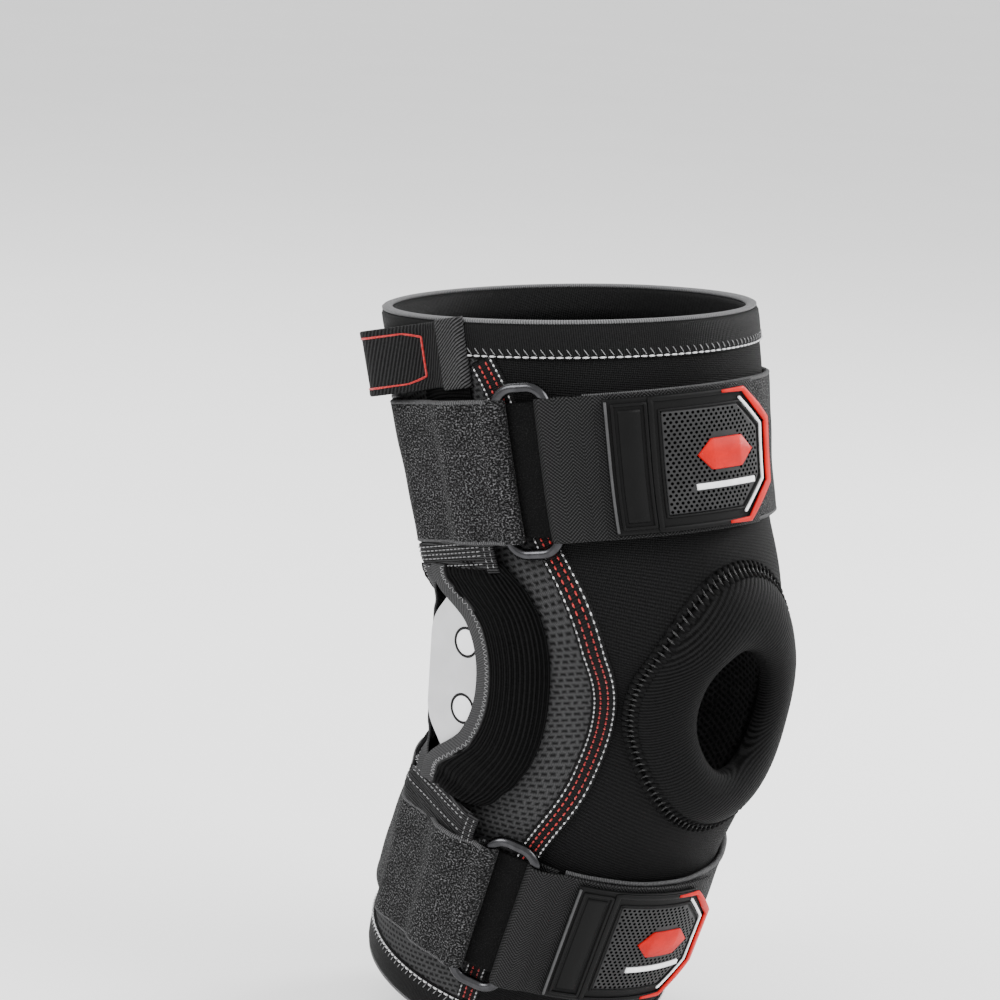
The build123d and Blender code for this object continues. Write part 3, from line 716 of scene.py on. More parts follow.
def make_seam(side):
    """The raised seam between the neoprene and the mesh, with its four rows of stitches."""
    word = word_for(side)
    low, high = HEM_LOW + HEM_WIDTH, HEM_TOP - HEM_WIDTH - 1.8
    vs = np.arange(low, high, 1.5)
    us = np.linspace(-SEAM_HALF, SEAM_HALF, 27)

    def place(across, along, height):
        across, along, height = same_shape(across, along, height)
        slope = (seam_angle(along + 1) - seam_angle(along - 1)) / 2 * MM_PER_DEGREE
        length = np.sqrt(1 + slope**2)
        # across is square to the seam's line, so a part of it is a change of height
        z = along + across * slope / length
        angle = seam_angle(along) - across / length / MM_PER_DEGREE
        return leg(side * angle, height, z)

    across, along = np.meshgrid(us, vs, indexing="ij")
    thick = 1.6
    tape = cloth(f"{word}_seam_tape", place(across, along, seam_profile(across) - thick / 2), thick,
                 SEAM_TAPE, us, vs, edge=(0.7, 1.0))
    halves(tape, "neoprene")

    starts = np.arange(low + 1, high - 2.5, SEAM_PITCH)
    rows = (
        ("red_inner", 1.35, 0.0, 1.35, 0.38, RED_THREAD, "red_rubber"),
        ("white_outer", 3.55, 0.3, 0.85, 0.33, WHITE_THREAD, "binding_tape"),
        ("black_outer", 3.55, 1.25, 0.75, 0.30, DARK_THREAD, "binding_tape"),
    )
    for name, offset, shift, length, radius, material, slot in rows:
        for hand in (-1, 1):
            across = np.full_like(starts, hand * offset)
            rest = seam_profile(across) + 0.05
            begin = thread_ends(across, starts + shift, rest)
            paths = stitch_paths(place, begin, begin + (0, length, 0), sink=0.3, bulge=0.25)
            split_threads(f"{word}_{name}_{'front' if hand > 0 else 'rear'}", paths, radius, material, slot)


# ---------------------------------------------------------------- hems
def make_hem(name, level, side, body, node):
    """Binding tape folded over the sleeve's end, with a piped rim and two rows of stitches."""
    angles = np.arange(0, 361, 1.5)
    # (distance below the rim, height off the sleeve) round the tape's section
    outline = np.array([
        (12.8, -WALL - 0.15), (12.6, -WALL - 0.7), (8, -WALL - 0.9), (2, -WALL - 0.8), (0.4, -WALL - 0.3),
        (0.0, -1.5), (0.4, 0.35), (1.8, 0.95), (5, 1.05), (8.5, 0.95), (11.2, 0.9), (12.4, 0.65),
        (12.9, 0.2), (12.6, -0.2), (8, -0.6), (2.2, -1.0), (2.2, -2.0), (8, -2.4),
    ])

    def place(angle, down, height):
        angle, down, height = same_shape(angle, down, height)
        z = sleeve_height(angle, np.full_like(angle, level)) - side * down
        return leg(angle, height, z)

    sections = posed(place(angles[:, None], outline[:, 0], outline[:, 1]))
    us, vs = angles * MM_PER_DEGREE, np.cumsum(np.full(len(outline), 2.0))
    rides(swept(f"{name}_binding", sections, BINDING, us, vs, closed=True), body, "binding_tape", node)

    turn = np.linspace(0, 2 * pi, 10, endpoint=False)
    rim = posed(place(angles[:, None], -0.35 + 0.95 * np.cos(turn), -1.45 + 2.0 * np.sin(turn)))
    rides(swept(f"{name}_rim_piping", rim, PIPING, us, turn, closed=True), body, "binding_tape")

    steps = np.arange(0, 360, 2.4)
    stitches = (
        # name, distance below the rim, a stitch's reach, its sink and bulge, radius, thread
        ("running_stitch", 11.9, (1.9, 0, 0), 0.25, 0.2, 0.36, WHITE_THREAD),
        ("zigzag_stitch", 11.6, (1.4, -2.8, 0.05), 0.3, 0.1, 0.16, GREY_THREAD),
    )
    for word, down, reach, sink, bulge, radius, thread in stitches:
        begin = thread_ends(steps, down, 0.95)
        paths = stitch_paths(place, begin, begin + reach, sink=sink, bulge=bulge)
        rides(tubes(f"{name}_{word}", paths, radius, thread), body, "binding_tape")


# ---------------------------------------------------------------- kneecap pad
def pad_place(turn, share, height):
    """Points of the kneecap pad: share is 0 at the opening and 1 at the pad's outer edge."""
    turn, share, height = same_shape(turn, share, height)
    x0, z0, rx, rz = (PATELLA[:, None] + (PAD - PATELLA)[:, None] * share.ravel()).reshape(4, *share.shape)
    return leg(-(x0 + rx * np.cos(turn)) / FRONT_SCALE, height, z0 + rz * np.sin(turn))


PAD_PROFILE = np.array([
    # (share of the way out, height off the sleeve)
    (0.30, -3.25), (0.10, -3.5), (0.0, -3.5), (-0.055, -2.9), (-0.085, -1.4), (-0.09, 0.5), (-0.075, 2.2),
    (-0.035, 3.6), (0.02, 4.7), (0.09, 5.7), (0.18, 6.5), (0.29, 7.0), (0.41, 7.1), (0.53, 6.8),
    (0.64, 6.1), (0.73, 5.2), (0.80, 4.1), (0.855, 2.9), (0.89, 1.7), (0.905, 0.9), (0.92, 0.6),
    (0.94, 1.0), (0.97, 1.45), (1.0, 1.2), (1.025, 0.3), (1.03, -0.6), (0.9, -0.8), (0.6, -0.7),
    (0.35, -0.7),
])


PAD_STITCHES = 112


def make_pad():
    turns = np.linspace(0, 2 * pi, 181)
    along = np.linspace(0, 1, len(PAD_PROFILE))
    fine = np.linspace(0, 1, 3 * len(PAD_PROFILE))
    share = np.interp(fine, along, PAD_PROFILE[:, 0])
    height = np.interp(fine, along, PAD_PROFILE[:, 1])
    for _ in range(2):
        share[1:-1] = (share[:-2] + 2 * share[1:-1] + share[2:]) / 4
        height[1:-1] = (height[:-2] + 2 * height[1:-1] + height[2:]) / 4
    straight = pad_place(turns[:, None], share, height)
    shape = posed(straight)
    pad = swept("kneecap_pad", shape, PAD_JERSEY, turns, fine, closed=True)
    # the ribs of its cloth run slanted across the whole pad
    flat = straight.reshape(-1, 3)
    lean = radians(28)
    ribs = np.stack([flat[:, 0] * cos(lean) + flat[:, 2] * sin(lean),
                     flat[:, 2] * cos(lean) - flat[:, 0] * sin(lean)], 1)
    repaint_uvs(pad, shape.reshape(-1, 3), ribs)
    for half in halves(pad, "pad_jersey", "patella_pad"):
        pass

    turn = np.linspace(0, 2 * pi, PAD_STITCHES, endpoint=False)
    for row, (inner, outer, low, high) in {"inner": (0.80, 0.885, 3.6, 2.0),
                                           "outer": (0.935, 1.03, 1.35, 0.75)}.items():
        begin = thread_ends(turn, inner, low)
        end = thread_ends(turn + 0.008, outer, high)
        paths = stitch_paths(pad_place, begin, end, sink=0.35, bulge=0.4)
        split_threads(f"kneecap_pad_{row}_puckers", paths, 0.82, NEOPRENE, "pad_jersey",
                      taper=(0.35, 0.9, 1.0, 0.9, 0.3))
    begin = thread_ends(turn + 0.028, 0.85, 2.9)
    end = thread_ends(turn + 0.028, 0.985, 1.5)
    paths = stitch_paths(pad_place, begin, end, sink=0.1, bulge=-0.9)
    split_threads("kneecap_pad_overlock", paths, 0.3, DARK_THREAD, "pad_jersey")


def repaint_uvs(made, at, uvs):
    """Gives each corner the map place of the listed point nearest to it."""
    tree = KDTree(len(at))
    for k, point in enumerate(at * MM):
        tree.insert(point, k)
    tree.balance()
    nearest = [tree.find(v.co)[1] for v in made.data.vertices]
    layer = made.data.uv_layers.active.data
    for loop in made.data.loops:
        layer[loop.index].uv = uvs[nearest[loop.vertex_index]]


# ---------------------------------------------------------------- straps
ARM_KNEE, ARM_FACE = 40.0, 64.65
ARM_ENDS = {1: (99.0, 67.4), -1: (109.0, 60.3)}   # far end's height and outer face, above and below
BAND_LIFT = 0.7


def arm_face(side, z):
    """How far an arm's outer face stands from the leg's mid plane at height z."""
    far_z, far_x = ARM_ENDS[side]
    share = np.clip((np.abs(z) - ARM_KNEE) / (far_z - ARM_KNEE), 0, None)
    return ARM_FACE + share * (far_x - ARM_FACE)


def over_arms(side, angle, z):
    """The inner height of cloth that lies on the sleeve and passes flat over both arms."""
    lateral = 180 - np.abs(180 - np.mod(angle, 360))
    climb = smoothstep((lateral - 73) / 12) * smoothstep((121 - lateral) / 14)
    half = rows_at(SECTIONS, z)[0]
    over = (arm_face(side, z) + BAND_LIFT) / np.sin(np.radians(np.maximum(lateral, 5))) - half
    return BAND_LIFT + climb * np.maximum(0, over - BAND_LIFT)


def bar_turn(bar, radius, start, end, step=15):
    """Angles and heights of a half turn round a ring bar, from start to end degrees."""
    step = step if end > start else -step
    turn = np.radians(np.arange(start, end + step / 2, step))
    return bar[0] + radius * np.cos(turn) / MM_PER_DEGREE, bar[1] + radius * np.sin(turn)


def strap_lengths(angle, height):
    return np.concatenate([[0], np.cumsum(np.hypot(np.diff(angle) * MM_PER_DEGREE, np.diff(height)))])


def dips(distance, places, depth, width):
    """Sewn lines: narrow dents across a strap at these distances along it."""
    return -depth * sum(np.exp(-((distance - place) / width) ** 2) for place in places)


def make_band(belt):
    """Loop-faced strap: folded round the ring's rear bar, sewn down, and laid right round the leg."""
    radius = RING_WIRE_GAP + BAND_THICK / 2
    bar_angle, bar_height = belt.rear_bar
    under = np.arange(bar_angle + 13, bar_angle, -1.0)
    fold_angle, fold_height = bar_turn(belt.rear_bar, radius, -90, -270)
    over = np.arange(bar_angle + 1, 410, 1.5)
    angle = np.concatenate([under, fold_angle, over])
    top = bar_height + radius
    w = stations(-STRAP_WIDTH / 2, STRAP_WIDTH / 2, 2.0)
    z = belt.z + w
    lie = over_arms(belt.side, angle[:, None], z) + BAND_THICK / 2
    n, m = len(under), len(fold_angle)
    height = lie.copy()
    ease = smoothstep((under - bar_angle) / 6)[:, None]
    height[:n] = (bar_height - radius) * (1 - ease) + np.maximum(lie[:n], bar_height - radius) * ease
    height[n:n + m] = fold_height[:, None]
    down = smoothstep((over - bar_angle - 1) / 10)[:, None]
    second = smoothstep((bar_angle + 21 - over) / 5)[:, None] * (BAND_THICK + 0.2)
    height[n + m:] = top * (1 - down) + (lie[n + m:] + second) * down
    distance = strap_lengths(angle, height.mean(1))
    fold = distance[n + m // 2]
    sewn = dips(distance - fold, (10.5, 14.5), 1.15, 1.0)
    height[n + m:] += sewn[n + m:, None]
    run = distance[:, None]
    height += 0.12 * np.sin(run / 4.1 + w / 7) + 0.10 * np.sin(w / 3.3 - run / 9)
    points = belt.place(angle[:, None], height, w)
    band = cloth(f"{belt.name}_strap_band", points, BAND_THICK, PILE, distance, w, edge=(1.2, 0.9))
    rides(band, belt.body, "loop_pile", f"{belt.name}_strap_band")

    for edge in (-1, 1):
        rim_w = np.array([0.0, 0.5, 1.0, 1.6, 1.0, 0.5, 0.0, -0.3]) - 0.2 + STRAP_WIDTH / 2 - 1.1
        rim_h = np.array([1.0, 1.3, 1.2, 0.2, -0.9, -1.2, -1.15, 0.0]) * 0.92
        outer = slice(n + m, len(angle))
        lifted = np.repeat(height[outer, :1] if edge < 0 else height[outer, -1:], len(rim_h), 1) + rim_h
        rim = belt.place(angle[outer, None], lifted, edge * rim_w)
        strip = swept(f"{belt.name}_band_selvage_{'top' if edge > 0 else 'bottom'}", posed(rim), SELVAGE,
                      distance[outer], rim_w)
        rides(strip, belt.body, "loop_pile")


TAB_NEAR, TAB_FAR, TAB_SCALE = 44.0, -10.0, 1.12     # the tab's two ends, and its millimetres for a degree
TAB_LENGTH = (TAB_NEAR - TAB_FAR) * TAB_SCALE
TAB_HALF, TAB_CORNER = 24.0, 12.5
TAB_BOTTOM, TAB_TOP = 6.1, 8.0
LINE_RISE = 0.75                                      # the moulded lines stand this far off the tab
# the lozenge's and the bar's ends along the tab, and how far up the tab each lies
BADGE_FROM, BADGE_TO, BADGE_UP, BADGE_WIDTH = 28.6, 50.9, 1.6, 11.0
BAR_FROM, BAR_TO, BAR_UP = 27.5, 51.5, -9.4


def make_elastic(belt):
    """Elastic end of the strap, wrapped round the ring's front bar, and the hook pad under it."""
    radius = RING_WIRE_GAP + ELASTIC_THICK / 2
    bar_angle, bar_height = belt.front_bar
    under = np.arange(bar_angle - 7, bar_angle, 1.0)
    fold_angle, fold_height = bar_turn(belt.front_bar, radius, -90, 90)
    over = np.arange(bar_angle - 1, TAB_FAR + 2, -1.0)
    angle = np.concatenate([under, fold_angle, over])
    under_height = np.interp(under, (bar_angle - 7, bar_angle), (3.3, bar_height - radius))
    down = smoothstep((bar_angle - 1 - over) / 9)
    over_height = (bar_height + radius) * (1 - down) + 5.1 * down
    height = np.concatenate([under_height, fold_height, over_height])
    distance = strap_lengths(angle, height)
    w = stations(-STRAP_WIDTH / 2, STRAP_WIDTH / 2, 1.5)
    wave = 0.1 * np.sin(distance[:, None] / 5 + w / 6)
    points = belt.place(angle[:, None], height[:, None] + wave, w)
    elastic = cloth(f"{belt.name}_strap_elastic", points, ELASTIC_THICK, ELASTIC, distance, w,
                    edge=(0.9, 0.7))
    rides(elastic, belt.end, "woven_elastic", f"{belt.name}_strap_elastic")

    # A dark patch of hook tape lies under the ring, between its bars, over the seam, so that the ring's gap
    # shows black.
    us = stations(bar_angle - 5, belt.rear_bar[0] + 6, 2)
    vs = stations(-STRAP_WIDTH / 2 + 1.5, STRAP_WIDTH / 2 - 1.5, 2)
    gap_patch = cloth(f"{belt.name}_ring_backing", belt.place(us[:, None], 1.9, vs), 1.0, HOOKS,
                    us * MM_PER_DEGREE, vs, edge=(0.6, 0.6))
    rides(gap_patch, belt.body, "loop_pile")

    us = stations(-6, 40, 2)
    vs = stations(-22.5, 22.5, 2)
    points = belt.place(us[:, None], 3.5, vs)
    pad = cloth(f"{belt.name}_hook_pad", points, 1.1, HOOKS, us * TAB_SCALE, vs, edge=(0.6, 0.6))
    rides(pad, belt.end, "hook_tape", f"{belt.name}_strap_hook_pad")


def on_tab(belt):
    """Maps (distance from the tab's ring end, distance up, height) to the straight leg."""
    return lambda s, w, h: belt.place(TAB_NEAR - np.asarray(s) / TAB_SCALE, h, w)


def tab_end(w, inset=0.0):
    """Where the tab ends at a distance w from its middle line, with its corners cut."""
    cut = np.maximum(0, np.abs(w) - (TAB_HALF - TAB_CORNER - inset * (2 - 2 ** 0.5)))
    return TAB_LENGTH - inset - cut


def rail(belt, name, path, width, low, high, material, slot, closed=False, bevel=0.25):
    """A moulded line that stands on the tab along a path of (s, w) corners."""
    corners = np.array(path + path[:1] if closed else path, float)
    steps = [np.linspace(a, b, max(2, int(np.hypot(*(b - a)) / 1.2) + 1))[:-1]
             for a, b in zip(corners[:-1], corners[1:])]
    line = np.concatenate(steps + [corners[-1:]])
    along = np.gradient(line, axis=0)
    if closed:
        along[0] = along[-1] = line[1] - line[-2]
    along /= np.linalg.norm(along, axis=1, keepdims=True)
    across = np.stack([-along[:, 1], along[:, 0]], 1)
    share = np.linspace(0, 1, len(line))
    half = (width(share) if callable(width) else np.full(len(line), width)) / 2
    offset = np.stack([-half, -half, bevel - half, half - bevel, half, half], 1)
    rise = np.array([low, high - bevel, high, high, high - bevel, low])
    s = line[:, :1] + across[:, :1] * offset
    w = line[:, 1:] + across[:, 1:] * offset
    sections = posed(on_tab(belt)(s, w, rise))
    run = np.arange(len(line)) * 1.2
    made = swept(f"{belt.name}_{name}", sections, material, run, rise, closed=closed)
    return rides(made, belt.end, slot)


def lozenge_width(share):
    """A long lozenge with flat sides and pointed ends."""
    return BADGE_WIDTH * np.clip(4.4 * np.minimum(share, 1 - share), 0.02, 1)


def make_tab(belt):
    """Moulded rubber end: a framed perforated field with cut corners, a plain lozenge and a plain bar."""
    vs = stations(-TAB_HALF, TAB_HALF, 1.5)
    share = stations(0, 1, 0.025, edge=0.013)[:, None]
    s = share * tab_end(vs)
    middle = on_tab(belt)(s, vs, (TAB_TOP + TAB_BOTTOM) / 2)
    body = cloth(f"{belt.name}_tab", middle, TAB_TOP - TAB_BOTTOM, RUBBER, share[:, 0] * TAB_LENGTH, vs,
                 edge=(0.8, 0.8))
    rides(body, belt.end, "tab_rubber", f"{belt.name}_strap_tab")

    def framed(inset):
        """The part of the outline that runs round the free end, at a distance inside it."""
        corner = TAB_HALF - TAB_CORNER - inset * (2 ** 0.5 - 1)
        near_edge = TAB_HALF - inset
        far = TAB_LENGTH - inset
        bend = far - (near_edge - corner)
        return [(bend, near_edge), (far, corner), (far, -corner), (bend, -near_edge)]

    def extended(path, by):
        """The same path with both ends drawn out towards the ring."""
        return [(path[0][0] - by, path[0][1]), *path, (path[-1][0] - by, path[-1][1])]

    def ended_at(s, inset):
        """A closed frame: the free end's outline, and a straight side at s."""
        return [(s, TAB_HALF - inset), *framed(inset), (s, inset - TAB_HALF)]

    def swelling(share):
        """The red line's width, which thins out at both ends."""
        return 1.0 + 1.7 * np.clip(4 * np.minimum(share, 1 - share), 0, 1)

    low, top, inside = TAB_TOP - 0.3, TAB_TOP + LINE_RISE, TAB_HALF - 1.0
    lines = (
        # name, path, width, top, material, closed
        ("tab_edge_line", [(0.7, -inside), (0.7, inside)], 0.8, top + 0.2, EDGE_RUBBER, False),
        ("tab_bar_frame", [(2.6, -21.6), (2.6, 21.6), (12.6, 21.6), (12.6, -21.6)], 1.1, top, RUBBER, True),
        ("tab_bar", [(7.6, -19.8), (7.6, 19.8)], 7.0, TAB_TOP + 0.35, RUBBER, False),
        ("tab_rim", ended_at(14.2, 1.1), 1.9, top, RUBBER, True),
        ("tab_field_frame", ended_at(16.6, 5.2), 0.9, TAB_TOP + 0.45, RUBBER, True),
    )
    for name, path, width, high, material, closed in lines:
        rail(belt, name, path, width, low, high, material, "tab_rubber", closed=closed)
    trim = rail(belt, "tab_trim", extended(framed(1.0), 9), swelling, top - 0.35, top + 0.45, RED_RUBBER,
                "red_rubber")
    finished(trim, "red_rubber", f"{belt.name}_strap_tab_trim")
    rail(belt, "tab_white_line", extended(framed(4.0), 0.4), 1.0, low, top - 0.05, WHITE_RUBBER,
         "tab_rubber")

    field(belt)
    badge = rail(belt, "tab_lozenge", [(BADGE_FROM, BADGE_UP), (BADGE_TO, BADGE_UP)], lozenge_width, low,
                 top + 0.3, RED_RUBBER, "red_rubber", bevel=0.3)
    finished(badge, "red_rubber", f"{belt.name}_strap_tab_badge")
    rail(belt, "tab_plain_bar", [(BAR_FROM, BAR_UP), (BAR_TO, BAR_UP)], 2.1, low, top + 0.15, WHITE_RUBBER,
         "tab_rubber")


PIT_PITCH, PIT_ROW, PIT_RADIUS = 1.9, 1.42, 0.55


def field(belt):
    """Rows of staggered pits, and the grey sheet that they are pressed into."""
    inset, start = 5.6, 17.0
    half = TAB_HALF - inset
    vs = np.linspace(-half, half, 40)
    us = np.linspace(0, 1, 44)
    s = start + us[:, None] * (tab_end(vs, inset) - start)
    sheet = cloth(f"{belt.name}_tab_field", on_tab(belt)(s, vs, TAB_TOP + 0.05), 0.3, FIELD_RUBBER,
                  us * TAB_LENGTH, vs, edge=(0.01, 0.3))
    rides(sheet, belt.end, "tab_rubber")
    place = on_tab(belt)
    points, faces = [], []
    turn = np.linspace(0, 2 * pi, 8, endpoint=False)
    rows = np.arange(-half + 1.2, half - 0.8, PIT_ROW)
    badge_middle = (BADGE_FROM + BADGE_TO) / 2
    for k, w in enumerate(rows):
        first = start + 1.3 + (k % 2) * PIT_PITCH / 2
        for s0 in np.arange(first, float(tab_end(w, inset + 0.9)), PIT_PITCH):
            off = abs(s0 - badge_middle)
            on_badge = abs(w - BADGE_UP) < 6.9 - max(0.0, off - 4.4) and off < 12.0
            on_bar = abs(w - BAR_UP) < 1.5 and BAR_FROM - 0.9 < s0 < BAR_TO + 0.9
            if on_badge or on_bar:
                continue
            base = len(points) * (len(turn) + 1)
            rim = place(s0 + PIT_RADIUS * np.cos(turn), w + PIT_RADIUS * np.sin(turn), TAB_TOP + 0.225)
            points.append(np.concatenate([rim, place(s0, w, TAB_TOP + 0.235)[None]]))
            for j in range(len(turn)):
                faces.append((base + j, base + (j + 1) % len(turn), base + len(turn)))
    pits = new_object(f"{belt.name}_tab_pits", posed(np.concatenate(points)), faces, SLOT_RUBBER)
    rides(tidy_mesh(pits, merge=0.000001), belt.end, "tab_rubber")


# ---------------------------------------------------------------- hinge pockets
POCKET_LOW, POCKET_HIGH = -46.0, 42.0
PLATE_FACE = 67.9                     # just off the outer plate
PLATE_EDGE = 17.4                     # just behind the plate's rear edge
WINDOW_TIP = 33.0


def mirrored(points, side):
    """Points drawn on the outer side of the leg, or their mirror image on the inner side."""
    return points * (side, 1, 1)


def window_y(z, front):
    """The edge of the opening over the hinge plate, measured along the leg's depth."""
    share = np.abs(z) / WINDOW_TIP
    return np.where(front, -7.4 + 17.0 * share ** 2.2, PLATE_EDGE - 3.6 * smoothstep((np.abs(z) - 18) / 22))


def pocket_face(z):
    """How far the pocket's cloth stands from the mid plane beside the opening."""
    out = smoothstep((np.abs(z) - 31) / 11)
    return PLATE_FACE * (1 - out) + 66.3 * out


TAPE, ZIGZAG_PITCH = 6.6, 1.7            # the window tape's width, and a stitch along it


def tape_line(z, front):
    """The middle of the window's tape, which runs on past the opening's tips to the pocket's ends."""
    beyond = np.clip((np.abs(z) - 22) / 22, 0, 1)
    straight = window_y(z, front) + (-TAPE / 2 if front else TAPE / 2)
    goal = 8.5 if front else 13.5
    return straight * (1 - smoothstep(beyond)) + goal * smoothstep(beyond)


def tape_fall(z, front):
    """How steeply the tape falls away from the hinge: behind it, the cloth drops off the plate's edge."""
    steep = 0.0 if front else 78.0
    return np.radians(steep * (1 - smoothstep((np.abs(z) - 24) / 16)))


def tape_sink(z, front):
    """How far the rear tape's upper edge lies below the plate's face, so that the plate hides it."""
    deep = 0.0 if front else 2.5
    return deep * (1 - smoothstep((np.abs(z) - 24) / 10))


def pocket_flank(side, front):
    """Ribbed elastic that swells from the tape over the hinge down to the sleeve."""
    word = word_for(side)
    vs = np.linspace(POCKET_LOW, POCKET_HIGH, 90)
    ribs = 13 if front else 9
    us = np.linspace(0, 1, ribs * 8 + 1)
    t = us[:, None]
    end = np.clip(np.abs(vs + 2) / 44, 0, 1)
    foot_angle = (70.0 + 13 * end**2.6) if front else (122 - 13 * end**3)
    foot = leg(foot_angle, 0.3 + 4.0 * end**3, vs)
    fall = tape_fall(vs, front)
    if front:
        start_y = tape_line(vs, front) + 0.6 - TAPE / 2
        start_x = -pocket_face(vs)
        bulge_y = foot[:, 1] + 0.6
        bulge_x = start_x - 0.8 + 0.6 * end
    else:
        start_y = tape_line(vs, front) - TAPE / 2 + TAPE * 0.8 * np.cos(fall)
        start_x = tape_sink(vs, front) - pocket_face(vs) + TAPE * 0.8 * np.sin(fall)
        bulge_y = foot[:, 1] - 0.6
        bulge_x = start_x + 1.5 * np.sin(fall) - 0.4
    y = (1 - t) ** 2 * start_y + 2 * t * (1 - t) * bulge_y + t**2 * foot[:, 1]
    x = (1 - t) ** 2 * start_x + 2 * t * (1 - t) * bulge_x + t**2 * foot[:, 0]
    z = np.broadcast_to(vs, y.shape)
    points = mirrored(np.stack([x, y, z], -1), side)
    normal = grid_normals(points, False)
    outward = np.sign(np.sum(normal * points * (1, 0, 0), -1, keepdims=True).mean())
    swell = 0.8 * np.abs(np.sin(pi * ribs * t)) ** 0.8 * edge_share(vs, 3.0)
    pucker = 0.55 * np.sin(vs / 1.15 + 7 * t) * end**3
    points = points + normal * outward * (swell + pucker)[..., None]
    name = f"{word}_pocket_{'front' if front else 'rear'}"
    widths = us * (24 if front else 15)
    made = cloth(name, points, 1.3, POCKET, widths, vs, edge=(0.5, 0.8))
    halves(made, "ribbed_elastic", name)


def window_tape(side, front):
    """Grey tape along one side of the opening, with a dark cord on its outer edge and zigzag stitches."""
    word = word_for(side)
    name = f"{word}_window_{'front' if front else 'rear'}"
    vs = np.linspace(POCKET_LOW + 1, POCKET_HIGH - 1, 120)
    us = stations(-TAPE / 2, TAPE / 2, 0.9, edge=0.5)

    def place(across, z, height):
        across, z, height = same_shape(across, z, height)
        slope = (tape_line(z + 1, front) - tape_line(z - 1, front)) / 2
        length = np.sqrt(1 + slope**2)
        fall = tape_fall(z, front)
        inner = across + (0 if front else TAPE / 2)
        x = tape_sink(z, front) - pocket_face(z) - (0.9 if front else 0.5)
        x = x - height * np.cos(fall) + inner * np.sin(fall)
        y = tape_line(z, front) + across / length * np.cos(fall) + height * np.sin(fall)
        y = y - (TAPE / 2) * (1 - np.cos(fall)) * (0 if front else 1)
        return mirrored(np.stack([x, y, z - across * slope / length], -1), side)

    across, along = np.meshgrid(us, vs, indexing="ij")
    crown = 0.25 * np.cos(across / TAPE * pi)
    tape = cloth(f"{name}_tape", place(across, along, crown), 0.9, WINDOW_TAPE, us, vs, edge=(0.4, 0.6))
    halves(tape, "ribbed_elastic")

    outer = (-1 if front else 1) * TAPE / 2
    turn = np.linspace(0, 2 * pi, 8, endpoint=False)
    cord = place(outer + 0.45 * np.cos(turn), vs[:, None], 0.15 + 0.45 * np.sin(turn))
    halves(swept(f"{name}_cord", posed(cord), CORD_AND_SHADE_RING_RUBBER, vs, turn), "ribbed_elastic")

    steps = np.arange(POCKET_LOW + 3, POCKET_HIGH - 3, ZIGZAG_PITCH)
    begin = thread_ends(outer * 0.88, steps, 0.5)
    middle = thread_ends(outer * 0.28, steps + ZIGZAG_PITCH / 2, 0.62)
    end = thread_ends(outer * 0.88, steps + ZIGZAG_PITCH, 0.5)
    paths = np.concatenate([stitch_paths(place, begin, middle, sink=0.15, bulge=0.15),
                            stitch_paths(place, middle, end, sink=0.15, bulge=0.15)])
    split_threads(f"{name}_zigzag", paths, 0.13, GREY_THREAD, "binding_tape")


END_TAB_LOWEST = -61.0


def pocket_end(side, upper):
    """The stitched tab that closes one end of a pocket, over the arm, with its folded end piece."""
    word = word_for(side)
    level = "upper" if upper else "lower"
    body, reach = ("thigh", 1) if upper else ("shin", -1)
    us = stations(82, 121.5, 1.2, edge=0.6)
    vs = stations(0, 10.5 if upper else 17.0, 0.9, edge=0.7)

    def place(angle, down, height):
        angle, down, height = same_shape(angle, down, height)
        z = (48.6 - down) if upper else np.maximum(-44.0 - down + 0.26 * (angle - 97), END_TAB_LOWEST)
        swell = over_arms(reach, angle, z)
        return mirrored(leg(angle, swell + height, z), side)

    angle, down = np.meshgrid(us, vs, indexing="ij")
    ridge = 0.35 * np.abs(np.sin(down * pi / 1.5)) + 0.2 * np.sin(angle / 1.7 + down)
    patch = cloth(f"{word}_{level}_end_tab", place(angle, down, 1.1 + ridge), 1.5, END_TAPE,
                  us * MM_PER_DEGREE, vs, edge=(0.6, 0.6))
    rides(patch, body, "webbing", f"{word}_{level}_pocket_end")
    fold_us = stations(79.8, 83.0, 0.5, edge=0.4)
    fold_vs = stations(0.0, 12.0 if upper else 19.0, 1.0, edge=0.7)
    angle, down = np.meshgrid(fold_us, fold_vs, indexing="ij")
    points = place(angle, down, 2.1 + 0.15 * np.sin(down * 2))
    fold = cloth(f"{word}_{level}_end_fold", points, 1.8, END_TAPE, fold_us * MM_PER_DEGREE, fold_vs,
                 edge=(0.5, 0.6))
    rides(fold, body, "webbing")
    rows = []
    for offset in ((1.4, 2.9, 4.4, 5.9, 8.8) if upper else (1.6, 3.4, 8.5)):
        steps = np.arange(84.0, 119, 1.75)
        begin = thread_ends(steps, offset, 2.15)
        rows.append(stitch_paths(place, begin, begin + (1.3, 0, 0), sink=0.3, bulge=0.2))
    for offset in (80.6, 82.2):
        steps = np.arange(1.0, 10.5 if upper else 17.0, 2.0)
        begin = thread_ends(offset, steps, 3.0)
        rows.append(stitch_paths(place, begin, begin + (0, 1.4, 0), sink=0.3, bulge=0.2))
    stitches = tubes(f"{word}_{level}_end_stitches", np.concatenate(rows), 0.24, GREY_THREAD)
    rides(stitches, body, "binding_tape")


def make_pockets():
    for side in (1, -1):
        for front in (True, False):
            pocket_flank(side, front)
            window_tape(side, front)
        for upper in (True, False):
            pocket_end(side, upper)


# ---------------------------------------------------------------- pull tab
PULL = (82.0, 132.0)
PULL_TOP, PULL_BOTTOM = 126.5, 103.0


def pull_height(angle):
    out = np.minimum(angle - PULL[0], PULL[1] - angle) - 10
    return 2.1 + 15 * smoothstep(out / 15)


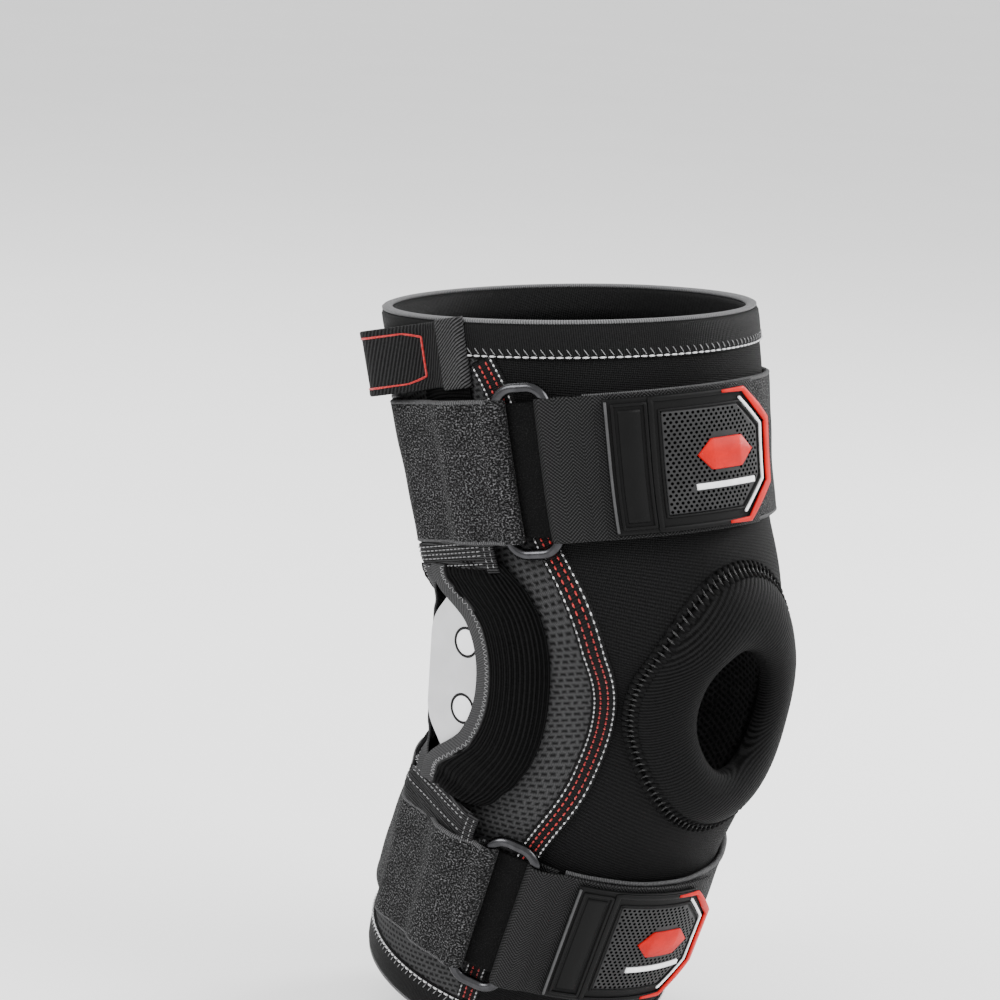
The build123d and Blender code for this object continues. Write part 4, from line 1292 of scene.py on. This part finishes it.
def make_pull_tab():
    """Webbing loop for the fingers, its net-covered front end, and the elastic below it."""
    middle, half = (PULL_TOP + PULL_BOTTOM) / 2, (PULL_TOP - PULL_BOTTOM) / 2

    def place(angle, across, height):
        angle, across, height = same_shape(angle, across, height)
        return leg(angle, pull_height(angle) + height, middle + across)

    angles = stations(*PULL, 1.0, edge=0.8)
    us = strap_lengths(angles, pull_height(angles))
    vs = stations(-half, half, 1.2, edge=0.7)
    border = 0.5 * smoothstep((np.abs(vs) - half + 3.2) / 0.8)
    points = place(angles[:, None], vs, border)
    loop = cloth("pull_tab_loop", points, 1.5, WEBBING, us, vs, edge=(0.8, 0.7))
    rides(loop, "thigh", "webbing", "pull_tab_loop")

    # (angle, distance up) of the red outline's corners
    corners = np.array([
        (94.5, -7.0), (94.5, 7.0), (98.5, 9.0), (116.0, 9.0), (120.0, 7.0), (120.0, -7.0), (116.0, -9.0),
        (98.5, -9.0), (94.5, -7.0),
    ])
    sides = [np.linspace(a, b, 12)[:-1] for a, b in zip(corners[:-1], corners[1:])]
    line = np.concatenate(sides + [corners[-1:]])
    begin = thread_ends(line[:-1, 0], line[:-1, 1], 0.95)
    end = thread_ends(line[1:, 0], line[1:, 1], 0.95)
    share = np.linspace(-0.05, 1.05, 4)
    paths = begin[:, None] + (end - begin)[:, None] * share[:, None]
    paths = posed(place(paths[..., 0], paths[..., 1], paths[..., 2]))
    rides(tubes("pull_tab_red_line", paths, 0.42, RED_THREAD, taper=(1.0, 1.0)), "thigh", "red_rubber")

    angles = stations(80.5, 89.5, 0.7, edge=0.6)
    vs = stations(-half - 1.2, half + 0.6, 1.0, edge=0.8)
    across = smoothstep((angles - 80.5) / 1.6) * smoothstep((89.5 - angles) / 1.6)
    height = 0.9 + 2.4 * across[:, None]
    points = leg(angles[:, None], height, middle + vs)
    net = cloth("pull_tab_anchor", points, 1.6, NET, angles * MM_PER_DEGREE, vs, edge=(0.8, 0.8))
    rides(net, "thigh", "webbing", "pull_tab_anchor")

    angles = stations(81, 99, 1.0, edge=0.6)
    vs = stations(96.5, 104.5, 0.35, edge=0.5)
    bow = 1.3 * np.cos((angles - 90) / 9 * pi / 2)[:, None]
    ribs = 0.45 * np.abs(np.sin(pi * (vs - 96.5) / 1.35))
    points = leg(angles[:, None], 1.0 + ribs + bow * 0.4, vs + bow)
    tie = cloth("pull_tab_elastic", points, 1.2, POCKET, angles * MM_PER_DEGREE, vs, edge=(0.6, 0.5))
    rides(tie, "thigh", "ribbed_elastic")


# ---------------------------------------------------------------- metal and plastic of the CAD model
def dress_cad():
    looks = {"ring": RING_METAL, "outer_plate": PLATE_PAINT, "inner_plate": PLATE_PAINT, "arm": ARM_METAL,
             "rivets": DISC_PAINT, "washers": NYLON, "stop_pin": ARM_METAL}
    for name, node in frame["nodes"].items():
        for ending, material in looks.items():
            if name.endswith(ending):
                node.data.materials.clear()
                node.data.materials.append(material)
        if name.endswith("outer_plate"):
            bevel = node.modifiers.new("softened edges", "BEVEL")
            bevel.width = 0.4 * MM
            bevel.segments = 3
            bevel.limit_method = "ANGLE"
            bevel.angle_limit = radians(40)


def make_rivet_shade_rings():
    """Painted shade: thin black rings round the rivets' discs, dark where the recesses round the discs lie
    in shadow.
    """
    turn = np.linspace(0, 2 * pi, 65)
    section = np.linspace(0, 2 * pi, 8, endpoint=False)
    for side, word in ((1, "lateral"), (-1, "medial")):
        for up, level in ((1, "upper"), (-1, "lower")):
            radius = 5.15 + 0.58 * np.cos(section)
            x = np.broadcast_to(-side * (67.1 + 0.42 * np.sin(section)), (len(turn), len(section)))
            points = np.stack([x, radius * np.cos(turn)[:, None],
                               up * PIVOT + radius * np.sin(turn)[:, None]], -1)
            # each ring is painted shade, black for the shadowed recess round a disc
            ring = swept(f"{word}_{level}_rivet_gasket", points, CORD_AND_SHADE_RING_RUBBER, turn, section, closed=True)
            rides(ring, "knee", "tab_rubber")


# ---------------------------------------------------------------- stage, light and camera
def make_stage():
    floor_look = Look("pale floor", (0.9, 0.9, 0.9), 0.6, specular=0.1)
    space = floor_look.in_space()
    floor_look.tinted(floor_look.noise(space, 180.0), (0.9, 0.9, 0.9), (0.94, 0.94, 0.94))
    # the lower rim's piping reaches just below the CAD model's lowest point
    floor_height = CAD_BOX[0][2] / MM - 1.0
    corners = 48
    turn = np.linspace(0, 2 * pi, corners, endpoint=False)
    rings = [np.stack([r * np.cos(turn), r * np.sin(turn), np.full(corners, floor_height)], -1)
             for r in (300.0, 20000.0)]
    faces = grid_faces(2, corners, closed_section=True).tolist() + [list(range(corners))]
    floor = new_object("floor", np.concatenate(rings), faces, floor_look.made)

    world = bpy.data.worlds.new("studio")
    bpy.context.scene.world = world
    world.use_nodes = True
    background = world.node_tree.nodes["Background"]
    background.inputs["Color"].default_value = (1.0, 1.0, 1.0, 1)
    background.inputs["Strength"].default_value = 1.35

    lights = {
        # name: (azimuth from the front, elevation, distance, size, watts)
        "key softbox": (20, 40, 1.6, 1.0, 26),
        "side softbox": (-105, 35, 1.6, 0.8, 20),
        "right strip": (75, 20, 1.5, 0.5, 20),
        "back softbox": (170, 45, 1.8, 1.1, 20),
    }
    for name, (azimuth, elevation, distance, size, watts) in lights.items():
        lamp = bpy.data.lights.new(name, "AREA")
        lamp.shape = "DISK"
        lamp.size = size
        lamp.energy = watts
        holder = bpy.data.objects.new(name, lamp)
        bpy.context.scene.collection.objects.link(holder)
        a, e = radians(azimuth), radians(elevation)
        holder.location = (distance * sin(a) * cos(e), -distance * cos(a) * cos(e), distance * sin(e))
        holder.rotation_euler = holder.location.to_track_quat("Z", "Y").to_euler()


def make_camera():
    azimuth, elevation, lean, distance = radians(-49), radians(12), radians(-5), 1.3
    tip = Matrix.Rotation(lean, 3, "X")
    back = tip @ Vector((sin(azimuth) * cos(elevation), -cos(azimuth) * cos(elevation), sin(elevation)))
    right = tip @ Vector((cos(azimuth), sin(azimuth), 0))
    up = back.cross(right)
    eye = back * distance
    # the picture's middle lies this far beside and above the knee's middle
    target = right * -0.0326 + up * 0.054
    z_axis = (eye - target).normalized()
    x_axis = up.cross(z_axis).normalized()
    y_axis = z_axis.cross(x_axis)
    camera = bpy.data.cameras.new("camera")
    camera.sensor_width = 36.0
    camera.lens = 126.4
    camera.clip_end = 100.0
    holder = bpy.data.objects.new("camera", camera)
    bpy.context.scene.collection.objects.link(holder)
    turn = Matrix((x_axis, y_axis, z_axis)).transposed().to_4x4()
    holder.matrix_world = Matrix.Translation(eye) @ turn
    bpy.context.scene.camera = holder


make_camera()
make_stage()
make_sleeve()
for seam_side in (1, -1):
    make_seam(seam_side)
make_hem("thigh_hem", HEM_TOP, 1, "thigh", "thigh_hem_binding")
make_hem("shin_hem", HEM_LOW, -1, "shin", "shin_hem_binding")
make_pad()
for strap in (THIGH, CALF):
    make_band(strap)
    make_elastic(strap)
    make_tab(strap)
make_pockets()
make_pull_tab()
dress_cad()
make_rivet_shade_rings()
